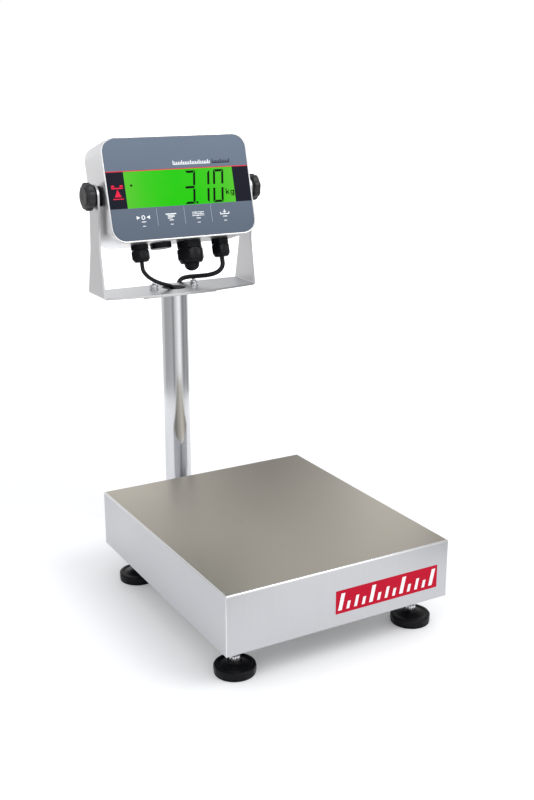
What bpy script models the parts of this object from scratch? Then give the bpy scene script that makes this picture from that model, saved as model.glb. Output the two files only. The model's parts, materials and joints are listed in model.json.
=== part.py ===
"""Bench scale: a stainless load pan on a levelling base, and a column with a tilting indicator.

Metres, +Z up, +X to the operator's right, +Y to the back. The origin is on the floor, under the
middle of the object's box. The indicator is built square in a frame of its own, whose origin is the
middle of its tilt axis, and an empty tilts that frame back.
"""

import math

import bmesh
import bpy
from mathutils import Matrix, Vector

MM = 0.001
GAP = 0.3 * MM  # left between two pieces that touch, and round a shaft in its hole
PAST = 0.01  # how far a cutter reaches past what it cuts

# Load pan
PAN_WIDTH = 0.305
PAN_DEPTH = 0.355
PAN_TOP = 0.1163
PAN_SKIRT = 0.0741
PAN_SHEET = 0.0015
PAN_BEND = 0.0022
PLATFORM_Y = -0.0727  # middle of the platform, front to back

# Base frame
FRAME_TOP = 0.0665
RAIL_WIDTH = 0.026
RAIL_HEIGHT = 0.022
RAIL_WALL = 0.002
RAIL_END_INSET = 0.0125  # from the pan's front and rear faces to the ends of the rails
CROSS_OFFSET = 0.112  # from the middle of the platform to each cross member
CROSS_WIDTH = 0.026
REAR_CROSS_DROP = 0.007  # the rear cross member reaches this much lower, onto the column carrier
BEAM_WIDTH = 0.070
BEAM_THICKNESS = 0.010

# Levelling feet
FOOT_INSET_SIDE = 0.028
FOOT_INSET_FRONT = 0.0335
FOOT_INSET_REAR = 0.0425
PAD_RADIUS = 0.025
PAD_SIDE = 0.011
PAD_CONE = 0.0022
HUB_RADIUS = 0.0095
HUB_HEIGHT = 0.0015
STUD_RADIUS = 0.005
STUD_SEAT = 0.008  # height of the socket's floor in the pad
STUD_STICK_OUT = 0.006  # above the frame
STUD_FLATS = 0.012  # of the hexagon that turns the stud, just above the hub
STUD_HEX_HEIGHT = 0.007
THREAD_CHAMFER = 0.001
LOCK_NUT_FLATS = 0.017
LOCK_NUT_HEIGHT = 0.006

# Load cell and carrier
CELL_LENGTH = 0.130
CELL_WIDTH = 0.030
CELL_HEIGHT = 0.022
CELL_BORE = 0.0065
CELL_BORE_SPREAD = 0.013
SPACER_LENGTH = 0.034
FOOT_SPACER_HEIGHT = 0.005
SPIDER_THICKNESS = 0.005
SPIDER_ARM_WIDTH = 0.030
SPIDER_SPINE_WIDTH = 0.090
SPIDER_INSET = 0.0125  # from the pan's faces to the ends of the spider's arms

# Column and its carrier
COLUMN_OFFSET = 0.0885  # from the pan's rear face to the column's axis
COLUMN_RADIUS = 0.019
COLUMN_WALL = 0.0015
CARRIER_WIDTH = 0.076
CARRIER_SHEET = 0.004
CARRIER_HEIGHT = 0.014
CARRIER_TAIL = 0.032  # behind the column's axis
CARRIER_NOSE = 0.002  # in front of the rear cross member
FOOT_FLANGE_WIDTH = 0.072
FOOT_FLANGE_DEPTH = 0.060
FOOT_FLANGE_THICKNESS = 0.005
CABLE_HOLE = 0.008
TOP_FLANGE_WIDTH = 0.112
TOP_FLANGE_DEPTH = 0.052
TOP_FLANGE_THICKNESS = 0.004
TOP_FLANGE_LIP = 0.001  # of the flange inside the column's bore

# U bracket
BRACKET_TOP = 0.3665  # upper face of its plate
BRACKET_SHEET = 0.003
BRACKET_BEND = 0.0045
ARM_ROOM = 0.0052  # between the case and each arm
BRACKET_FRONT = 0.0275  # in front of the column's axis, at the arms
BRACKET_BOW = 0.017  # how much further forward the middle of the front edge reaches
BRACKET_BACK = 0.0295
BOW_SHAPE = 1.3  # exponent of the bow's curve
ARM_WAIST_HEIGHT = 0.062  # above the plate, where the arm stops tapering
ARM_WAIST_FRONT = 0.0165
ARM_WAIST_BACK = 0.0155
ARM_TOP_RADIUS = 0.0158
PLATE_HOLE_MARGIN = 0.0005  # round the top flange's hole
BOLT_OFFSET = 0.031
BOLT_RADIUS = 0.003
BOLT_FLATS = 0.010
BOLT_HEAD = 0.004
WASHER_RADIUS = 0.0065
WASHER_THICKNESS = 0.0012
BOLT_NUT = 0.005
BOLT_STICK_OUT = 0.0025

# Level
LEVEL_RADIUS = 0.012
LEVEL_HEIGHT = 0.008
VIAL_RADIUS = 0.0088
VIAL_DEPTH = 0.006
VIAL_DOME = 0.001
LEVEL_OFFSET = 0.0295  # behind the pan's rear face

# Indicator: its tilt axis, and its front face in the tilted frame
PIVOT_HEIGHT = 0.5003
PIVOT_FORWARD = 0.0042  # in front of the column's axis
TILT = math.radians(15.5)
FACE_FORWARD = 0.0275
FACE_RAISE = 0.002
CASE_WIDTH = 0.2166
CASE_HEIGHT = 0.1402
CASE_DEPTH = 0.0690
CASE_CORNER = 0.0205
CASE_SHEET = 0.0015
CASE_RIM = 0.0022  # bright rim round the overlay
CASE_RIM_PROUD = 0.0004
CASE_BACK_ROUND = 0.007
CASE_LIP = 0.016
OVERLAY_THICKNESS = 0.0008
WINDOW_WIDTH = 0.162
WINDOW_HEIGHT = 0.0486
WINDOW_MIDDLE = -0.0007  # above the middle of the face
LCD_MARGIN = 0.0012
LCD_DEPTH = 0.009
BOARD_MARGIN_SIDE = 0.0258  # from the case's outside to the board
BOARD_MARGIN_END = 0.0226
BOARD_THICKNESS = 0.0016
BOARD_DEPTH = 0.030  # behind the face
COVER_GASKET = 0.0012
COVER_THICKNESS = 0.0025
COVER_INSET = 0.0085
KEY_WIDTH = 0.034
KEY_HEIGHT = 0.019
KEY_THICKNESS = 0.0024
KEY_DROP = 0.004  # from the window to the keys
KEY_SPACE = 0.0066  # from one key to the next
KEY_NAMES = ("key_zero", "key_print", "key_function", "key_tare")

# Glands in the bottom of the case: their line is this far behind the face
GLAND_LINE = 0.038
THREAD_ABOVE = 0.009  # of each gland's thread, inside the case
GLAND_NECK = 0.0008
LOAD_GLAND_X = -0.056
LOAD_GLAND = {"collar": 0.0130, "collar_length": 0.0062, "nut": 0.0132, "nut_length": 0.0160}
POWER_GLAND_X = 0.0668
POWER_GLAND = {"collar": 0.0134, "collar_length": 0.0068, "nut": 0.0137, "nut_length": 0.0178}
DATA_GLAND_X = 0.0187
DATA_GLAND = {"collar": 0.0188, "collar_length": 0.0090, "nut": 0.0200, "nut_length": 0.0206}
PLUG_RADIUS = 0.0106
PLUG_LENGTH = 0.0105
CAP_X = -0.0245
CAP_RADIUS = 0.0148
CAP_HEIGHT = 0.0072
CAP_THREAD = 0.008

# Pivots
KNOB_RADIUS = 0.0187
KNOB_DEPTH = 0.0143
KNOB_LOBES = 8
KNOB_LOBE_DEPTH = 0.05  # share of the radius
KNOB_STUD = 0.004
KNOB_STUD_REACH = 0.012  # inside the case
SPACER_RADIUS = 0.0135

# Cords
LOAD_CABLE_RADIUS = 0.00275
POWER_CORD_RADIUS = 0.00325
DUCT_DROP = 0.011  # from the rear cross member's underside to the load cell's cable
CELL_ENTRY_INSET = 0.010  # from the cell's rear end to where its cable goes in
COIL_MIDDLE = (0.103, 0.165)
COIL_MID_RADIUS = 0.0358
COIL_TURNS_WIDE = 3
COIL_TURNS_HIGH = 2
CORD_LEAD = 0.010  # straight run out of a gland
PLUG_BODY = (0.030, 0.034, 0.026)  # along the cord, across it, and its height
PLUG_RELIEF = 0.018
PLUG_PIN = 0.0024
PLUG_PIN_LENGTH = 0.015
PLUG_PIN_PITCH = 0.019
PLUG_FRONT = (0.066, 0.233)
TAIL_BEND = 0.027  # radius of the cord's turn into the plug

ROUND = 28  # sides of a large round piece
SMALL_ROUND = 16

# What follows from those
RAIL_BOTTOM = FRAME_TOP - RAIL_HEIGHT
PAN_REAR = PLATFORM_Y + PAN_DEPTH / 2
PAN_FRONT = PLATFORM_Y - PAN_DEPTH / 2
PAN_UNDER = PAN_TOP - PAN_SHEET
FOOT_X = PAN_WIDTH / 2 - FOOT_INSET_SIDE
FOOT_FRONT_Y = PAN_FRONT + FOOT_INSET_FRONT
FOOT_REAR_Y = PAN_REAR - FOOT_INSET_REAR
HUB_TOP = PAD_SIDE + PAD_CONE + HUB_HEIGHT
COLUMN_Y = PAN_REAR + COLUMN_OFFSET
REAR_CROSS_BOTTOM = RAIL_BOTTOM - REAR_CROSS_DROP
CARRIER_TOP = REAR_CROSS_BOTTOM - GAP
FOOT_FLANGE_TOP = CARRIER_TOP + GAP + FOOT_FLANGE_THICKNESS
TOP_FLANGE_HOLE = COLUMN_RADIUS - COLUMN_WALL - TOP_FLANGE_LIP
PLATE_BOTTOM = BRACKET_TOP - BRACKET_SHEET
PLATE_HOLE = TOP_FLANGE_HOLE + PLATE_HOLE_MARGIN
TOP_FLANGE_BOTTOM = PLATE_BOTTOM - GAP - TOP_FLANGE_THICKNESS
PIVOT = Vector((0, COLUMN_Y - PIVOT_FORWARD, PIVOT_HEIGHT))
ARM_INSIDE = CASE_WIDTH / 2 + ARM_ROOM
BRACKET_WIDTH = 2 * (ARM_INSIDE + BRACKET_SHEET)
FACE_Y = -FACE_FORWARD
SHEET_Y = FACE_Y + OVERLAY_THICKNESS + GAP  # front of the case's sheet
CASE_BACK = FACE_Y + CASE_DEPTH
CASE_BOTTOM = FACE_RAISE - CASE_HEIGHT / 2
GLAND_Y = FACE_Y + GLAND_LINE
PIVOT_BORE = KNOB_STUD + GAP
KEY_PITCH = KEY_WIDTH + KEY_SPACE
KEY_MIDDLE = WINDOW_MIDDLE - WINDOW_HEIGHT / 2 - KEY_DROP - KEY_HEIGHT / 2
BOARD_WIDTH = CASE_WIDTH - 2 * BOARD_MARGIN_SIDE
BOARD_HEIGHT = CASE_HEIGHT - 2 * BOARD_MARGIN_END


def make_material(name, colour, roughness, metallic=0.0):
    """A Principled material of one plain finish."""
    material = bpy.data.materials.new(name)
    material.use_nodes = True
    shader = material.node_tree.nodes["Principled BSDF"]
    shader.inputs["Base Color"].default_value = (*colour, 1.0)
    shader.inputs["Roughness"].default_value = roughness
    shader.inputs["Metallic"].default_value = metallic
    material.diffuse_color = (*colour, 1.0)
    return material


class Finish:
    """The finishes, made once, after the scene is cleared."""

    def __init__(self):
        self.pan = make_material("brushed_pan", (0.66, 0.66, 0.64), 0.32, 1.0)
        self.bracket = make_material("brushed_bracket", (0.70, 0.70, 0.72), 0.38, 1.0)
        self.column = make_material("polished_column", (0.72, 0.73, 0.75), 0.16, 1.0)
        self.case = make_material("satin_case", (0.74, 0.74, 0.76), 0.30, 1.0)
        self.frame = make_material("frame_steel", (0.52, 0.53, 0.55), 0.45, 1.0)
        self.cell = make_material("cell_aluminium", (0.76, 0.77, 0.79), 0.35, 1.0)
        self.screw = make_material("bright_screws", (0.68, 0.69, 0.72), 0.22, 1.0)
        self.plastic = make_material("black_plastic", (0.020, 0.020, 0.022), 0.42)
        self.rubber = make_material("black_rubber", (0.018, 0.018, 0.019), 0.62)
        self.overlay = make_material("overlay_film", (0.16, 0.20, 0.26), 0.40)
        self.window = make_material("display_window", (0.10, 0.78, 0.02), 0.08)
        self.display = make_material("display_module", (0.05, 0.40, 0.03), 0.30)
        self.board = make_material("circuit_board", (0.02, 0.20, 0.08), 0.50)
        self.vial = make_material("level_vial", (0.55, 0.75, 0.20), 0.05)
        self.jacket = make_material("cable_jacket", (0.022, 0.022, 0.024), 0.50)


def clear_scene():
    """Removes everything that the scene holds."""
    for obj in list(bpy.data.objects):
        bpy.data.objects.remove(obj)


def add_object(name, shape, material, location=(0, 0, 0), parent=None):
    """Links a bmesh shape, whose points are relative to location, as a named object."""
    bmesh.ops.recalc_face_normals(shape, faces=shape.faces)
    mesh = bpy.data.meshes.new(name)
    shape.to_mesh(mesh)
    shape.free()
    mesh.shade_smooth()
    mesh.set_sharp_from_angle(angle=math.radians(34))
    if material:
        mesh.materials.append(material)
    obj = bpy.data.objects.new(name, mesh)
    obj.location = location
    obj.parent = parent
    bpy.context.scene.collection.objects.link(obj)
    return obj


def add_copy(name, source, location, parent=None):
    """Another object on the source's mesh."""
    obj = bpy.data.objects.new(name, source.data)
    obj.location = location
    obj.parent = parent
    bpy.context.scene.collection.objects.link(obj)
    return obj


def loft(shape, rings, closed=False):
    """Joins rings of equal counts with quads, and caps the first and last unless the rings close up."""
    loops = [[shape.verts.new(point) for point in ring] for ring in rings]
    pairs = list(zip(loops, loops[1:]))
    if closed:
        pairs.append((loops[-1], loops[0]))
    for lower, upper in pairs:
        for i, corner in enumerate(lower):
            j = (i + 1) % len(lower)
            shape.faces.new((corner, lower[j], upper[j], upper[i]))
    if not closed:
        shape.faces.new(loops[0])
        shape.faces.new(loops[-1])
    return shape


def turn_axis(axis):
    """The matrix that lays a shape turned about Z along another axis."""
    return {
        "X": Matrix.Rotation(math.pi / 2, 4, "Y"),
        "-X": Matrix.Rotation(-math.pi / 2, 4, "Y"),
        "Z": Matrix.Identity(4),
        "-Z": Matrix.Rotation(math.pi, 4, "X"),
    }[axis]


def round_ring(radius, height, sides):
    """A circle of points."""
    step = math.tau / sides
    return [(radius * math.cos(i * step), radius * math.sin(i * step), height) for i in range(sides)]


def hex_ring(flats, height, sides):
    """A hexagon of points, which has sides points, a multiple of six."""
    points = []
    for i in range(sides):
        angle = i * math.tau / sides
        to_flat = (angle % (math.tau / 6)) - math.tau / 12
        radius = flats / 2 / math.cos(to_flat)
        points.append((radius * math.cos(angle), radius * math.sin(angle), height))
    return points


def lobed_ring(radius, height, sides, lobes, depth):
    """A round ring whose radius swells and sinks in lobes."""
    points = []
    for i in range(sides):
        angle = i * math.tau / sides
        swell = 1 - depth * (0.5 - 0.5 * math.cos(lobes * angle)) ** 2
        points.append((radius * swell * math.cos(angle), radius * swell * math.sin(angle), height))
    return points


def turned(profile, sides=ROUND, closed=False, axis="Z", shape=None):
    """A solid of revolution from (radius, height) points. Its ends are flat caps unless it closes up."""
    shape = shape or bmesh.new()
    fresh = bmesh.new()
    loft(fresh, [round_ring(radius, height, sides) for radius, height in profile], closed)
    bmesh.ops.transform(fresh, matrix=turn_axis(axis), verts=fresh.verts)
    return append(shape, fresh)


def append(shape, other):
    """Adds the other bmesh to shape and frees it."""
    bmesh.ops.recalc_face_normals(other, faces=other.faces)
    carrier = bpy.data.meshes.new("carrier")
    other.to_mesh(carrier)
    other.free()
    shape.from_mesh(carrier)
    bpy.data.meshes.remove(carrier)
    return shape


def block(low, high, shape=None):
    """A box between two corners."""
    shape = shape or bmesh.new()
    (x0, y0, z0), (x1, y1, z1) = low, high
    rings = [[(x0, y0, z), (x1, y0, z), (x1, y1, z), (x0, y1, z)] for z in (z0, z1)]
    return append(shape, loft(bmesh.new(), rings))


def centred_block(width, depth, height, middle=(0, 0, 0), shape=None):
    """A box of the given size round its middle."""
    half = Vector((width, depth, height)) / 2
    middle = Vector(middle)
    return block(middle - half, middle + half, shape)


def extruded(outline, start, end, axis="Z", shape=None):
    """An outline pulled along an axis: (x, y) along Z, (x, z) along Y, or (y, z) along X."""
    place = {
        "X": lambda a, b, c: (c, a, b),
        "Y": lambda a, b, c: (a, c, b),
        "Z": lambda a, b, c: (a, b, c),
    }[axis]
    rings = [[place(a, b, at) for a, b in outline] for at in (start, end)]
    return append(shape or bmesh.new(), loft(bmesh.new(), rings))


def rounded_rectangle(width, height, radius, steps=5, middle=(0, 0)):
    """The outline of a rectangle with round corners."""
    points = []
    for quarter, (sx, sy) in enumerate(((1, 1), (-1, 1), (-1, -1), (1, -1))):
        cx = middle[0] + sx * (width / 2 - radius)
        cy = middle[1] + sy * (height / 2 - radius)
        for i in range(steps + 1):
            angle = (quarter + i / steps) * math.pi / 2
            points.append((cx + radius * math.cos(angle), cy + radius * math.sin(angle)))
    return points


def arc(middle, radius, start, end, steps):
    """Points along an arc, with its angles in degrees."""
    points = []
    for i in range(steps + 1):
        angle = math.radians(start + (end - start) * i / steps)
        points.append((middle[0] + radius * math.cos(angle), middle[1] + radius * math.sin(angle)))
    return points


def add_cutter(name, shape, location=(0, 0, 0), parent=None):
    """A helper that only cuts or trims, and is never seen."""
    cutter = add_object(name, shape, None, location, parent)
    cutter.hide_render = True
    cutter.display_type = "WIRE"
    return cutter


def apply_boolean(obj, cutter, operation="DIFFERENCE"):
    """Cuts, trims or joins obj with another object."""
    modifier = obj.modifiers.new(cutter.name, "BOOLEAN")
    modifier.object = cutter
    modifier.operation = operation
    modifier.solver = "EXACT"


def add_bevel(obj, width, segments=2, angle=40):
    """Rounds the edges that turn by more than the angle."""
    modifier = obj.modifiers.new("edge_round", "BEVEL")
    modifier.width = width
    modifier.segments = segments
    modifier.limit_method = "ANGLE"
    modifier.angle_limit = math.radians(angle)


def bend_through(points, spacing):
    """A route whose first and last runs are straight, with even points on a smooth curve between."""
    route = [Vector(point) for point in points]
    fine = []
    for before, start, end, after in zip(route, route[1:], route[2:], route[3:]):
        for i in range(24):
            t = i / 24
            fine.append(
                0.5
                * (
                    2 * start
                    + (end - before) * t
                    + (2 * before - 5 * start + 4 * end - after) * t**2
                    + (3 * start - before - 3 * end + after) * t**3
                )
            )
    fine.append(route[-2])
    lengths = [0.0]
    for start, end in zip(fine, fine[1:]):
        lengths.append(lengths[-1] + (end - start).length)
    count = max(2, round(lengths[-1] / spacing))
    even, at = [], 0
    for i in range(count + 1):
        wanted = lengths[-1] * i / count
        while at < len(fine) - 2 and lengths[at + 1] < wanted:
            at += 1
        share = (wanted - lengths[at]) / (lengths[at + 1] - lengths[at])
        even.append(fine[at].lerp(fine[at + 1], share))
    return [route[0], *even, route[-1]]


def add_cord(name, points, radius, material):
    """A plain round tube along a route."""
    curve = bpy.data.curves.new(name, "CURVE")
    curve.dimensions = "3D"
    curve.bevel_depth = radius
    curve.bevel_resolution = 2
    curve.use_fill_caps = True
    route = bend_through(points, 5.2 * radius)
    spline = curve.splines.new("POLY")
    spline.points.add(len(route) - 1)
    for point, place in zip(spline.points, route):
        point.co = (*place, 1)
    curve.materials.append(material)
    obj = bpy.data.objects.new(name, curve)
    bpy.context.scene.collection.objects.link(obj)
    return obj


def add_pivot(name, location, tilt=0.0, parent=None):
    """An empty that stands on a joint's axis."""
    empty = bpy.data.objects.new(name, None)
    empty.location = location
    empty.rotation_euler.x = tilt
    empty.parent = parent
    bpy.context.scene.collection.objects.link(empty)
    return empty


def foot_places():
    """The four feet, as (name, x, y)."""
    return (
        ("front_left", -FOOT_X, FOOT_FRONT_Y),
        ("front_right", FOOT_X, FOOT_FRONT_Y),
        ("rear_left", -FOOT_X, FOOT_REAR_Y),
        ("rear_right", FOOT_X, FOOT_REAR_Y),
    )


def add_frame(finish):
    """Two rails, two cross members and the beam under the load cell."""
    rail_length = PAN_DEPTH - 2 * RAIL_END_INSET
    half_rail = RAIL_WIDTH / 2
    for side, name in ((-1, "base_rail_left"), (1, "base_rail_right")):
        middle = (side * FOOT_X, PLATFORM_Y, RAIL_BOTTOM + RAIL_HEIGHT / 2)
        rail = add_object(
            name, centred_block(RAIL_WIDTH, rail_length, RAIL_HEIGHT), finish.frame, middle
        )
        inner = centred_block(
            RAIL_WIDTH - 2 * RAIL_WALL, rail_length + 2 * RAIL_WALL, RAIL_HEIGHT - 2 * RAIL_WALL
        )
        apply_boolean(rail, add_cutter(name + "_hollow", inner, middle))
        holes = bmesh.new()
        for y in (FOOT_FRONT_Y, FOOT_REAR_Y):
            hole = [(STUD_RADIUS + GAP, -RAIL_HEIGHT), (STUD_RADIUS + GAP, RAIL_HEIGHT)]
            bore = turned(hole, SMALL_ROUND)
            bmesh.ops.translate(bore, vec=(0, y - PLATFORM_Y, 0), verts=bore.verts)
            append(holes, bore)
        apply_boolean(rail, add_cutter(name + "_stud_holes", holes, middle))
    cross_width = 2 * (FOOT_X - half_rail - GAP)
    places = (
        ("base_cross_front", -CROSS_OFFSET, RAIL_BOTTOM),
        ("base_cross_rear", CROSS_OFFSET, REAR_CROSS_BOTTOM),
    )
    for name, offset, bottom in places:
        height = FRAME_TOP - bottom
        middle = (0, PLATFORM_Y + offset, bottom + height / 2)
        cross = add_object(
            name, centred_block(cross_width, CROSS_WIDTH, height), finish.frame, middle
        )
        inner = centred_block(
            cross_width + 2 * RAIL_WALL, CROSS_WIDTH - 2 * RAIL_WALL, height - 2 * RAIL_WALL
        )
        apply_boolean(cross, add_cutter(name + "_hollow", inner, middle))
    beam_length = 2 * (CROSS_OFFSET - CROSS_WIDTH / 2 - GAP)
    beam = add_object(
        "load_cell_beam",
        centred_block(BEAM_WIDTH, beam_length, BEAM_THICKNESS),
        finish.frame,
        (0, PLATFORM_Y, FRAME_TOP - BEAM_THICKNESS / 2),
    )
    add_bevel(beam, 0.0012, 1)


def add_feet(finish):
    """Each foot: a swivelling pad, its threaded stud, and the lock nut under the rail."""
    bore = STUD_RADIUS + GAP
    pad_profile = [
        (PAD_RADIUS - 0.0016, 0),
        (PAD_RADIUS, 0.0016),
        (PAD_RADIUS, PAD_SIDE - 0.0012),
        (PAD_RADIUS - 0.0014, PAD_SIDE),
        (HUB_RADIUS + 0.003, PAD_SIDE + PAD_CONE - 0.001),
        (HUB_RADIUS, PAD_SIDE + PAD_CONE),
        (HUB_RADIUS, HUB_TOP - 0.0008),
        (HUB_RADIUS - 0.0008, HUB_TOP),
        (bore, HUB_TOP),
        (bore, STUD_SEAT),
    ]
    stud_bottom = STUD_SEAT + GAP
    stud_top = FRAME_TOP + STUD_STICK_OUT
    hex_bottom = HUB_TOP + GAP
    hex_top = hex_bottom + STUD_HEX_HEIGHT
    stud_rings = [
        round_ring(STUD_RADIUS, stud_bottom, 18),
        round_ring(STUD_RADIUS, hex_bottom, 18),
        hex_ring(STUD_FLATS, hex_bottom, 18),
        hex_ring(STUD_FLATS, hex_top, 18),
        round_ring(STUD_RADIUS, hex_top, 18),
        round_ring(STUD_RADIUS, stud_top - THREAD_CHAMFER, 18),
        round_ring(STUD_RADIUS - THREAD_CHAMFER, stud_top, 18),
    ]
    nut_top = RAIL_BOTTOM - GAP
    nut_bottom = nut_top - LOCK_NUT_HEIGHT
    chamfer = 0.0008
    nut_rings = [
        hex_ring(LOCK_NUT_FLATS - 2 * chamfer, nut_bottom, 18),
        hex_ring(LOCK_NUT_FLATS, nut_bottom + chamfer, 18),
        hex_ring(LOCK_NUT_FLATS, nut_top - chamfer, 18),
        hex_ring(LOCK_NUT_FLATS - 2 * chamfer, nut_top, 18),
        round_ring(bore, nut_top, 18),
        round_ring(bore, nut_bottom, 18),
    ]
    pad = stud = nut = None
    for place, x, y in foot_places():
        if pad is None:
            pad = add_object("foot_pad_" + place, turned(pad_profile), finish.rubber, (x, y, 0))
            stud = add_object(
                "foot_stud_" + place, loft(bmesh.new(), stud_rings), finish.screw, (x, y, 0)
            )
            nut = add_object(
                "lock_nut_" + place, loft(bmesh.new(), nut_rings, True), finish.screw, (x, y, 0)
            )
            continue
        add_copy("foot_pad_" + place, pad, (x, y, 0))
        add_copy("foot_stud_" + place, stud, (x, y, 0))
        add_copy("lock_nut_" + place, nut, (x, y, 0))


def add_weighing_parts(finish):
    """The load cell between its two spacers, the spider on it, and the pan over all of it."""
    spacer_y = CELL_LENGTH / 2 - SPACER_LENGTH / 2
    foot_bottom = FRAME_TOP + GAP
    add_object(
        "load_cell_foot",
        centred_block(CELL_WIDTH, SPACER_LENGTH, FOOT_SPACER_HEIGHT),
        finish.screw,
        (0, PLATFORM_Y + spacer_y, foot_bottom + FOOT_SPACER_HEIGHT / 2),
    )
    cell_bottom = foot_bottom + FOOT_SPACER_HEIGHT + GAP
    cell_middle = (0, PLATFORM_Y, cell_bottom + CELL_HEIGHT / 2)
    cell = add_object(
        "load_cell", centred_block(CELL_WIDTH, CELL_LENGTH, CELL_HEIGHT), finish.cell, cell_middle
    )
    slot = arc((CELL_BORE_SPREAD, 0), CELL_BORE, -150, 150, 12)
    slot += [(-y, -z) for y, z in slot]
    flexure = extruded(slot, -CELL_WIDTH, CELL_WIDTH, "X")
    apply_boolean(cell, add_cutter("load_cell_flexure", flexure, cell_middle))

    spider_top = PAN_UNDER - GAP
    spider_bottom = spider_top - SPIDER_THICKNESS
    head_bottom = cell_bottom + CELL_HEIGHT + GAP
    head_height = spider_bottom - GAP - head_bottom
    add_object(
        "load_cell_head",
        centred_block(CELL_WIDTH, SPACER_LENGTH, head_height),
        finish.screw,
        (0, PLATFORM_Y - spacer_y, head_bottom + head_height / 2),
    )
    reach_x = PAN_WIDTH / 2 - PAN_SHEET - SPIDER_INSET
    reach_y = PAN_DEPTH / 2 - PAN_SHEET - SPIDER_INSET
    spine = SPIDER_SPINE_WIDTH / 2
    inner_y = reach_y - SPIDER_ARM_WIDTH
    outline = [
        (-reach_x, -reach_y),
        (reach_x, -reach_y),
        (reach_x, -inner_y),
        (spine, -inner_y),
        (spine, inner_y),
        (reach_x, inner_y),
        (reach_x, reach_y),
        (-reach_x, reach_y),
        (-reach_x, inner_y),
        (-spine, inner_y),
        (-spine, -inner_y),
        (-reach_x, -inner_y),
    ]
    add_object(
        "load_spider",
        extruded(outline, -SPIDER_THICKNESS / 2, SPIDER_THICKNESS / 2),
        finish.frame,
        (0, PLATFORM_Y, spider_bottom + SPIDER_THICKNESS / 2),
    )

    place = (0, PLATFORM_Y, PAN_TOP - PAN_SKIRT)
    pan = add_object(
        "load_pan", block_with_round_top(PAN_WIDTH, PAN_DEPTH, PAN_SKIRT, PAN_BEND), finish.pan, place
    )
    hollow = block_with_round_top(
        PAN_WIDTH - 2 * PAN_SHEET,
        PAN_DEPTH - 2 * PAN_SHEET,
        PAN_SKIRT - PAN_SHEET,
        PAN_BEND - PAN_SHEET,
        PAST,
    )
    apply_boolean(pan, add_cutter("load_pan_hollow", hollow, place))


def block_with_round_top(width, depth, height, radius, below=0.0):
    """A box whose upper edges are bent round, standing on z = -below."""
    rings = []
    for inset, z in ((0, -below), *bend_steps(radius, height)):
        x, y = width / 2 - inset, depth / 2 - inset
        rings.append([(-x, -y, z), (x, -y, z), (x, y, z), (-x, y, z)])
    return loft(bmesh.new(), rings)


def bend_steps(radius, top, steps=3):
    """(inset, height) pairs round a bend that ends at the top."""
    pairs = []
    for i in range(steps + 1):
        angle = i / steps * math.pi / 2
        pairs.append((radius * (1 - math.cos(angle)), top - radius * (1 - math.sin(angle))))
    return pairs


def add_column(finish):
    """The carrier under the frame, the column with its two flanges, and the level on the carrier."""
    front = PLATFORM_Y + CROSS_OFFSET - CROSS_WIDTH / 2 - CARRIER_NOSE
    back = COLUMN_Y + CARRIER_TAIL
    half = CARRIER_WIDTH / 2
    inner = half - CARRIER_SHEET
    under = -CARRIER_SHEET
    section = [
        (-half, -CARRIER_HEIGHT),
        (-inner, -CARRIER_HEIGHT),
        (-inner, under),
        (inner, under),
        (inner, -CARRIER_HEIGHT),
        (half, -CARRIER_HEIGHT),
        (half, 0),
        (-half, 0),
    ]
    place = (0, COLUMN_Y, CARRIER_TOP)
    carrier = add_object(
        "column_carrier", extruded(section, front - COLUMN_Y, back - COLUMN_Y, "Y"), finish.frame, place
    )
    bore = turned([(CABLE_HOLE, -PAST), (CABLE_HOLE, PAST)], SMALL_ROUND)
    cutter = add_cutter("cable_hole_low", bore, place)
    apply_boolean(carrier, cutter)

    flange_middle = (0, COLUMN_Y, CARRIER_TOP + GAP + FOOT_FLANGE_THICKNESS / 2)
    flange = add_object(
        "column_foot_flange",
        centred_block(FOOT_FLANGE_WIDTH, FOOT_FLANGE_DEPTH, FOOT_FLANGE_THICKNESS),
        finish.bracket,
        flange_middle,
    )
    add_bevel(flange, 0.001, 1)
    apply_boolean(flange, cutter)

    bottom = FOOT_FLANGE_TOP + GAP
    top = TOP_FLANGE_BOTTOM - GAP
    inside = COLUMN_RADIUS - COLUMN_WALL
    wall = [(COLUMN_RADIUS, 0), (COLUMN_RADIUS, top - bottom), (inside, top - bottom), (inside, 0)]
    add_object(
        "column_tube", turned(wall, ROUND, closed=True), finish.column, (0, COLUMN_Y, bottom)
    )

    outline = rounded_rectangle(TOP_FLANGE_WIDTH, TOP_FLANGE_DEPTH, 0.004, 2)
    half_top = TOP_FLANGE_THICKNESS / 2
    place = (0, COLUMN_Y, TOP_FLANGE_BOTTOM + half_top)
    flange = add_object(
        "column_top_flange", extruded(outline, -half_top, half_top), finish.bracket, place
    )
    holes = turned([(TOP_FLANGE_HOLE, -PAST), (TOP_FLANGE_HOLE, PAST)], ROUND)
    add_bolt_holes(holes)
    apply_boolean(flange, add_cutter("column_top_holes", holes, place))

    level_place = (0, PAN_REAR + LEVEL_OFFSET, CARRIER_TOP + GAP)
    seat = VIAL_RADIUS + GAP
    cup = [
        (LEVEL_RADIUS, 0),
        (LEVEL_RADIUS, LEVEL_HEIGHT - 0.001),
        (LEVEL_RADIUS - 0.001, LEVEL_HEIGHT),
        (seat, LEVEL_HEIGHT),
        (seat, LEVEL_HEIGHT - VIAL_DEPTH),
    ]
    add_object("level_cup", turned(cup, 20), finish.plastic, level_place)
    vial_bottom = LEVEL_HEIGHT - VIAL_DEPTH + GAP
    vial = [
        (VIAL_RADIUS, vial_bottom),
        (VIAL_RADIUS, LEVEL_HEIGHT - VIAL_DOME / 2),
        (VIAL_RADIUS * 0.6, LEVEL_HEIGHT + VIAL_DOME / 2),
    ]
    add_object("level_vial", turned(vial, 20), finish.vial, level_place)


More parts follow.
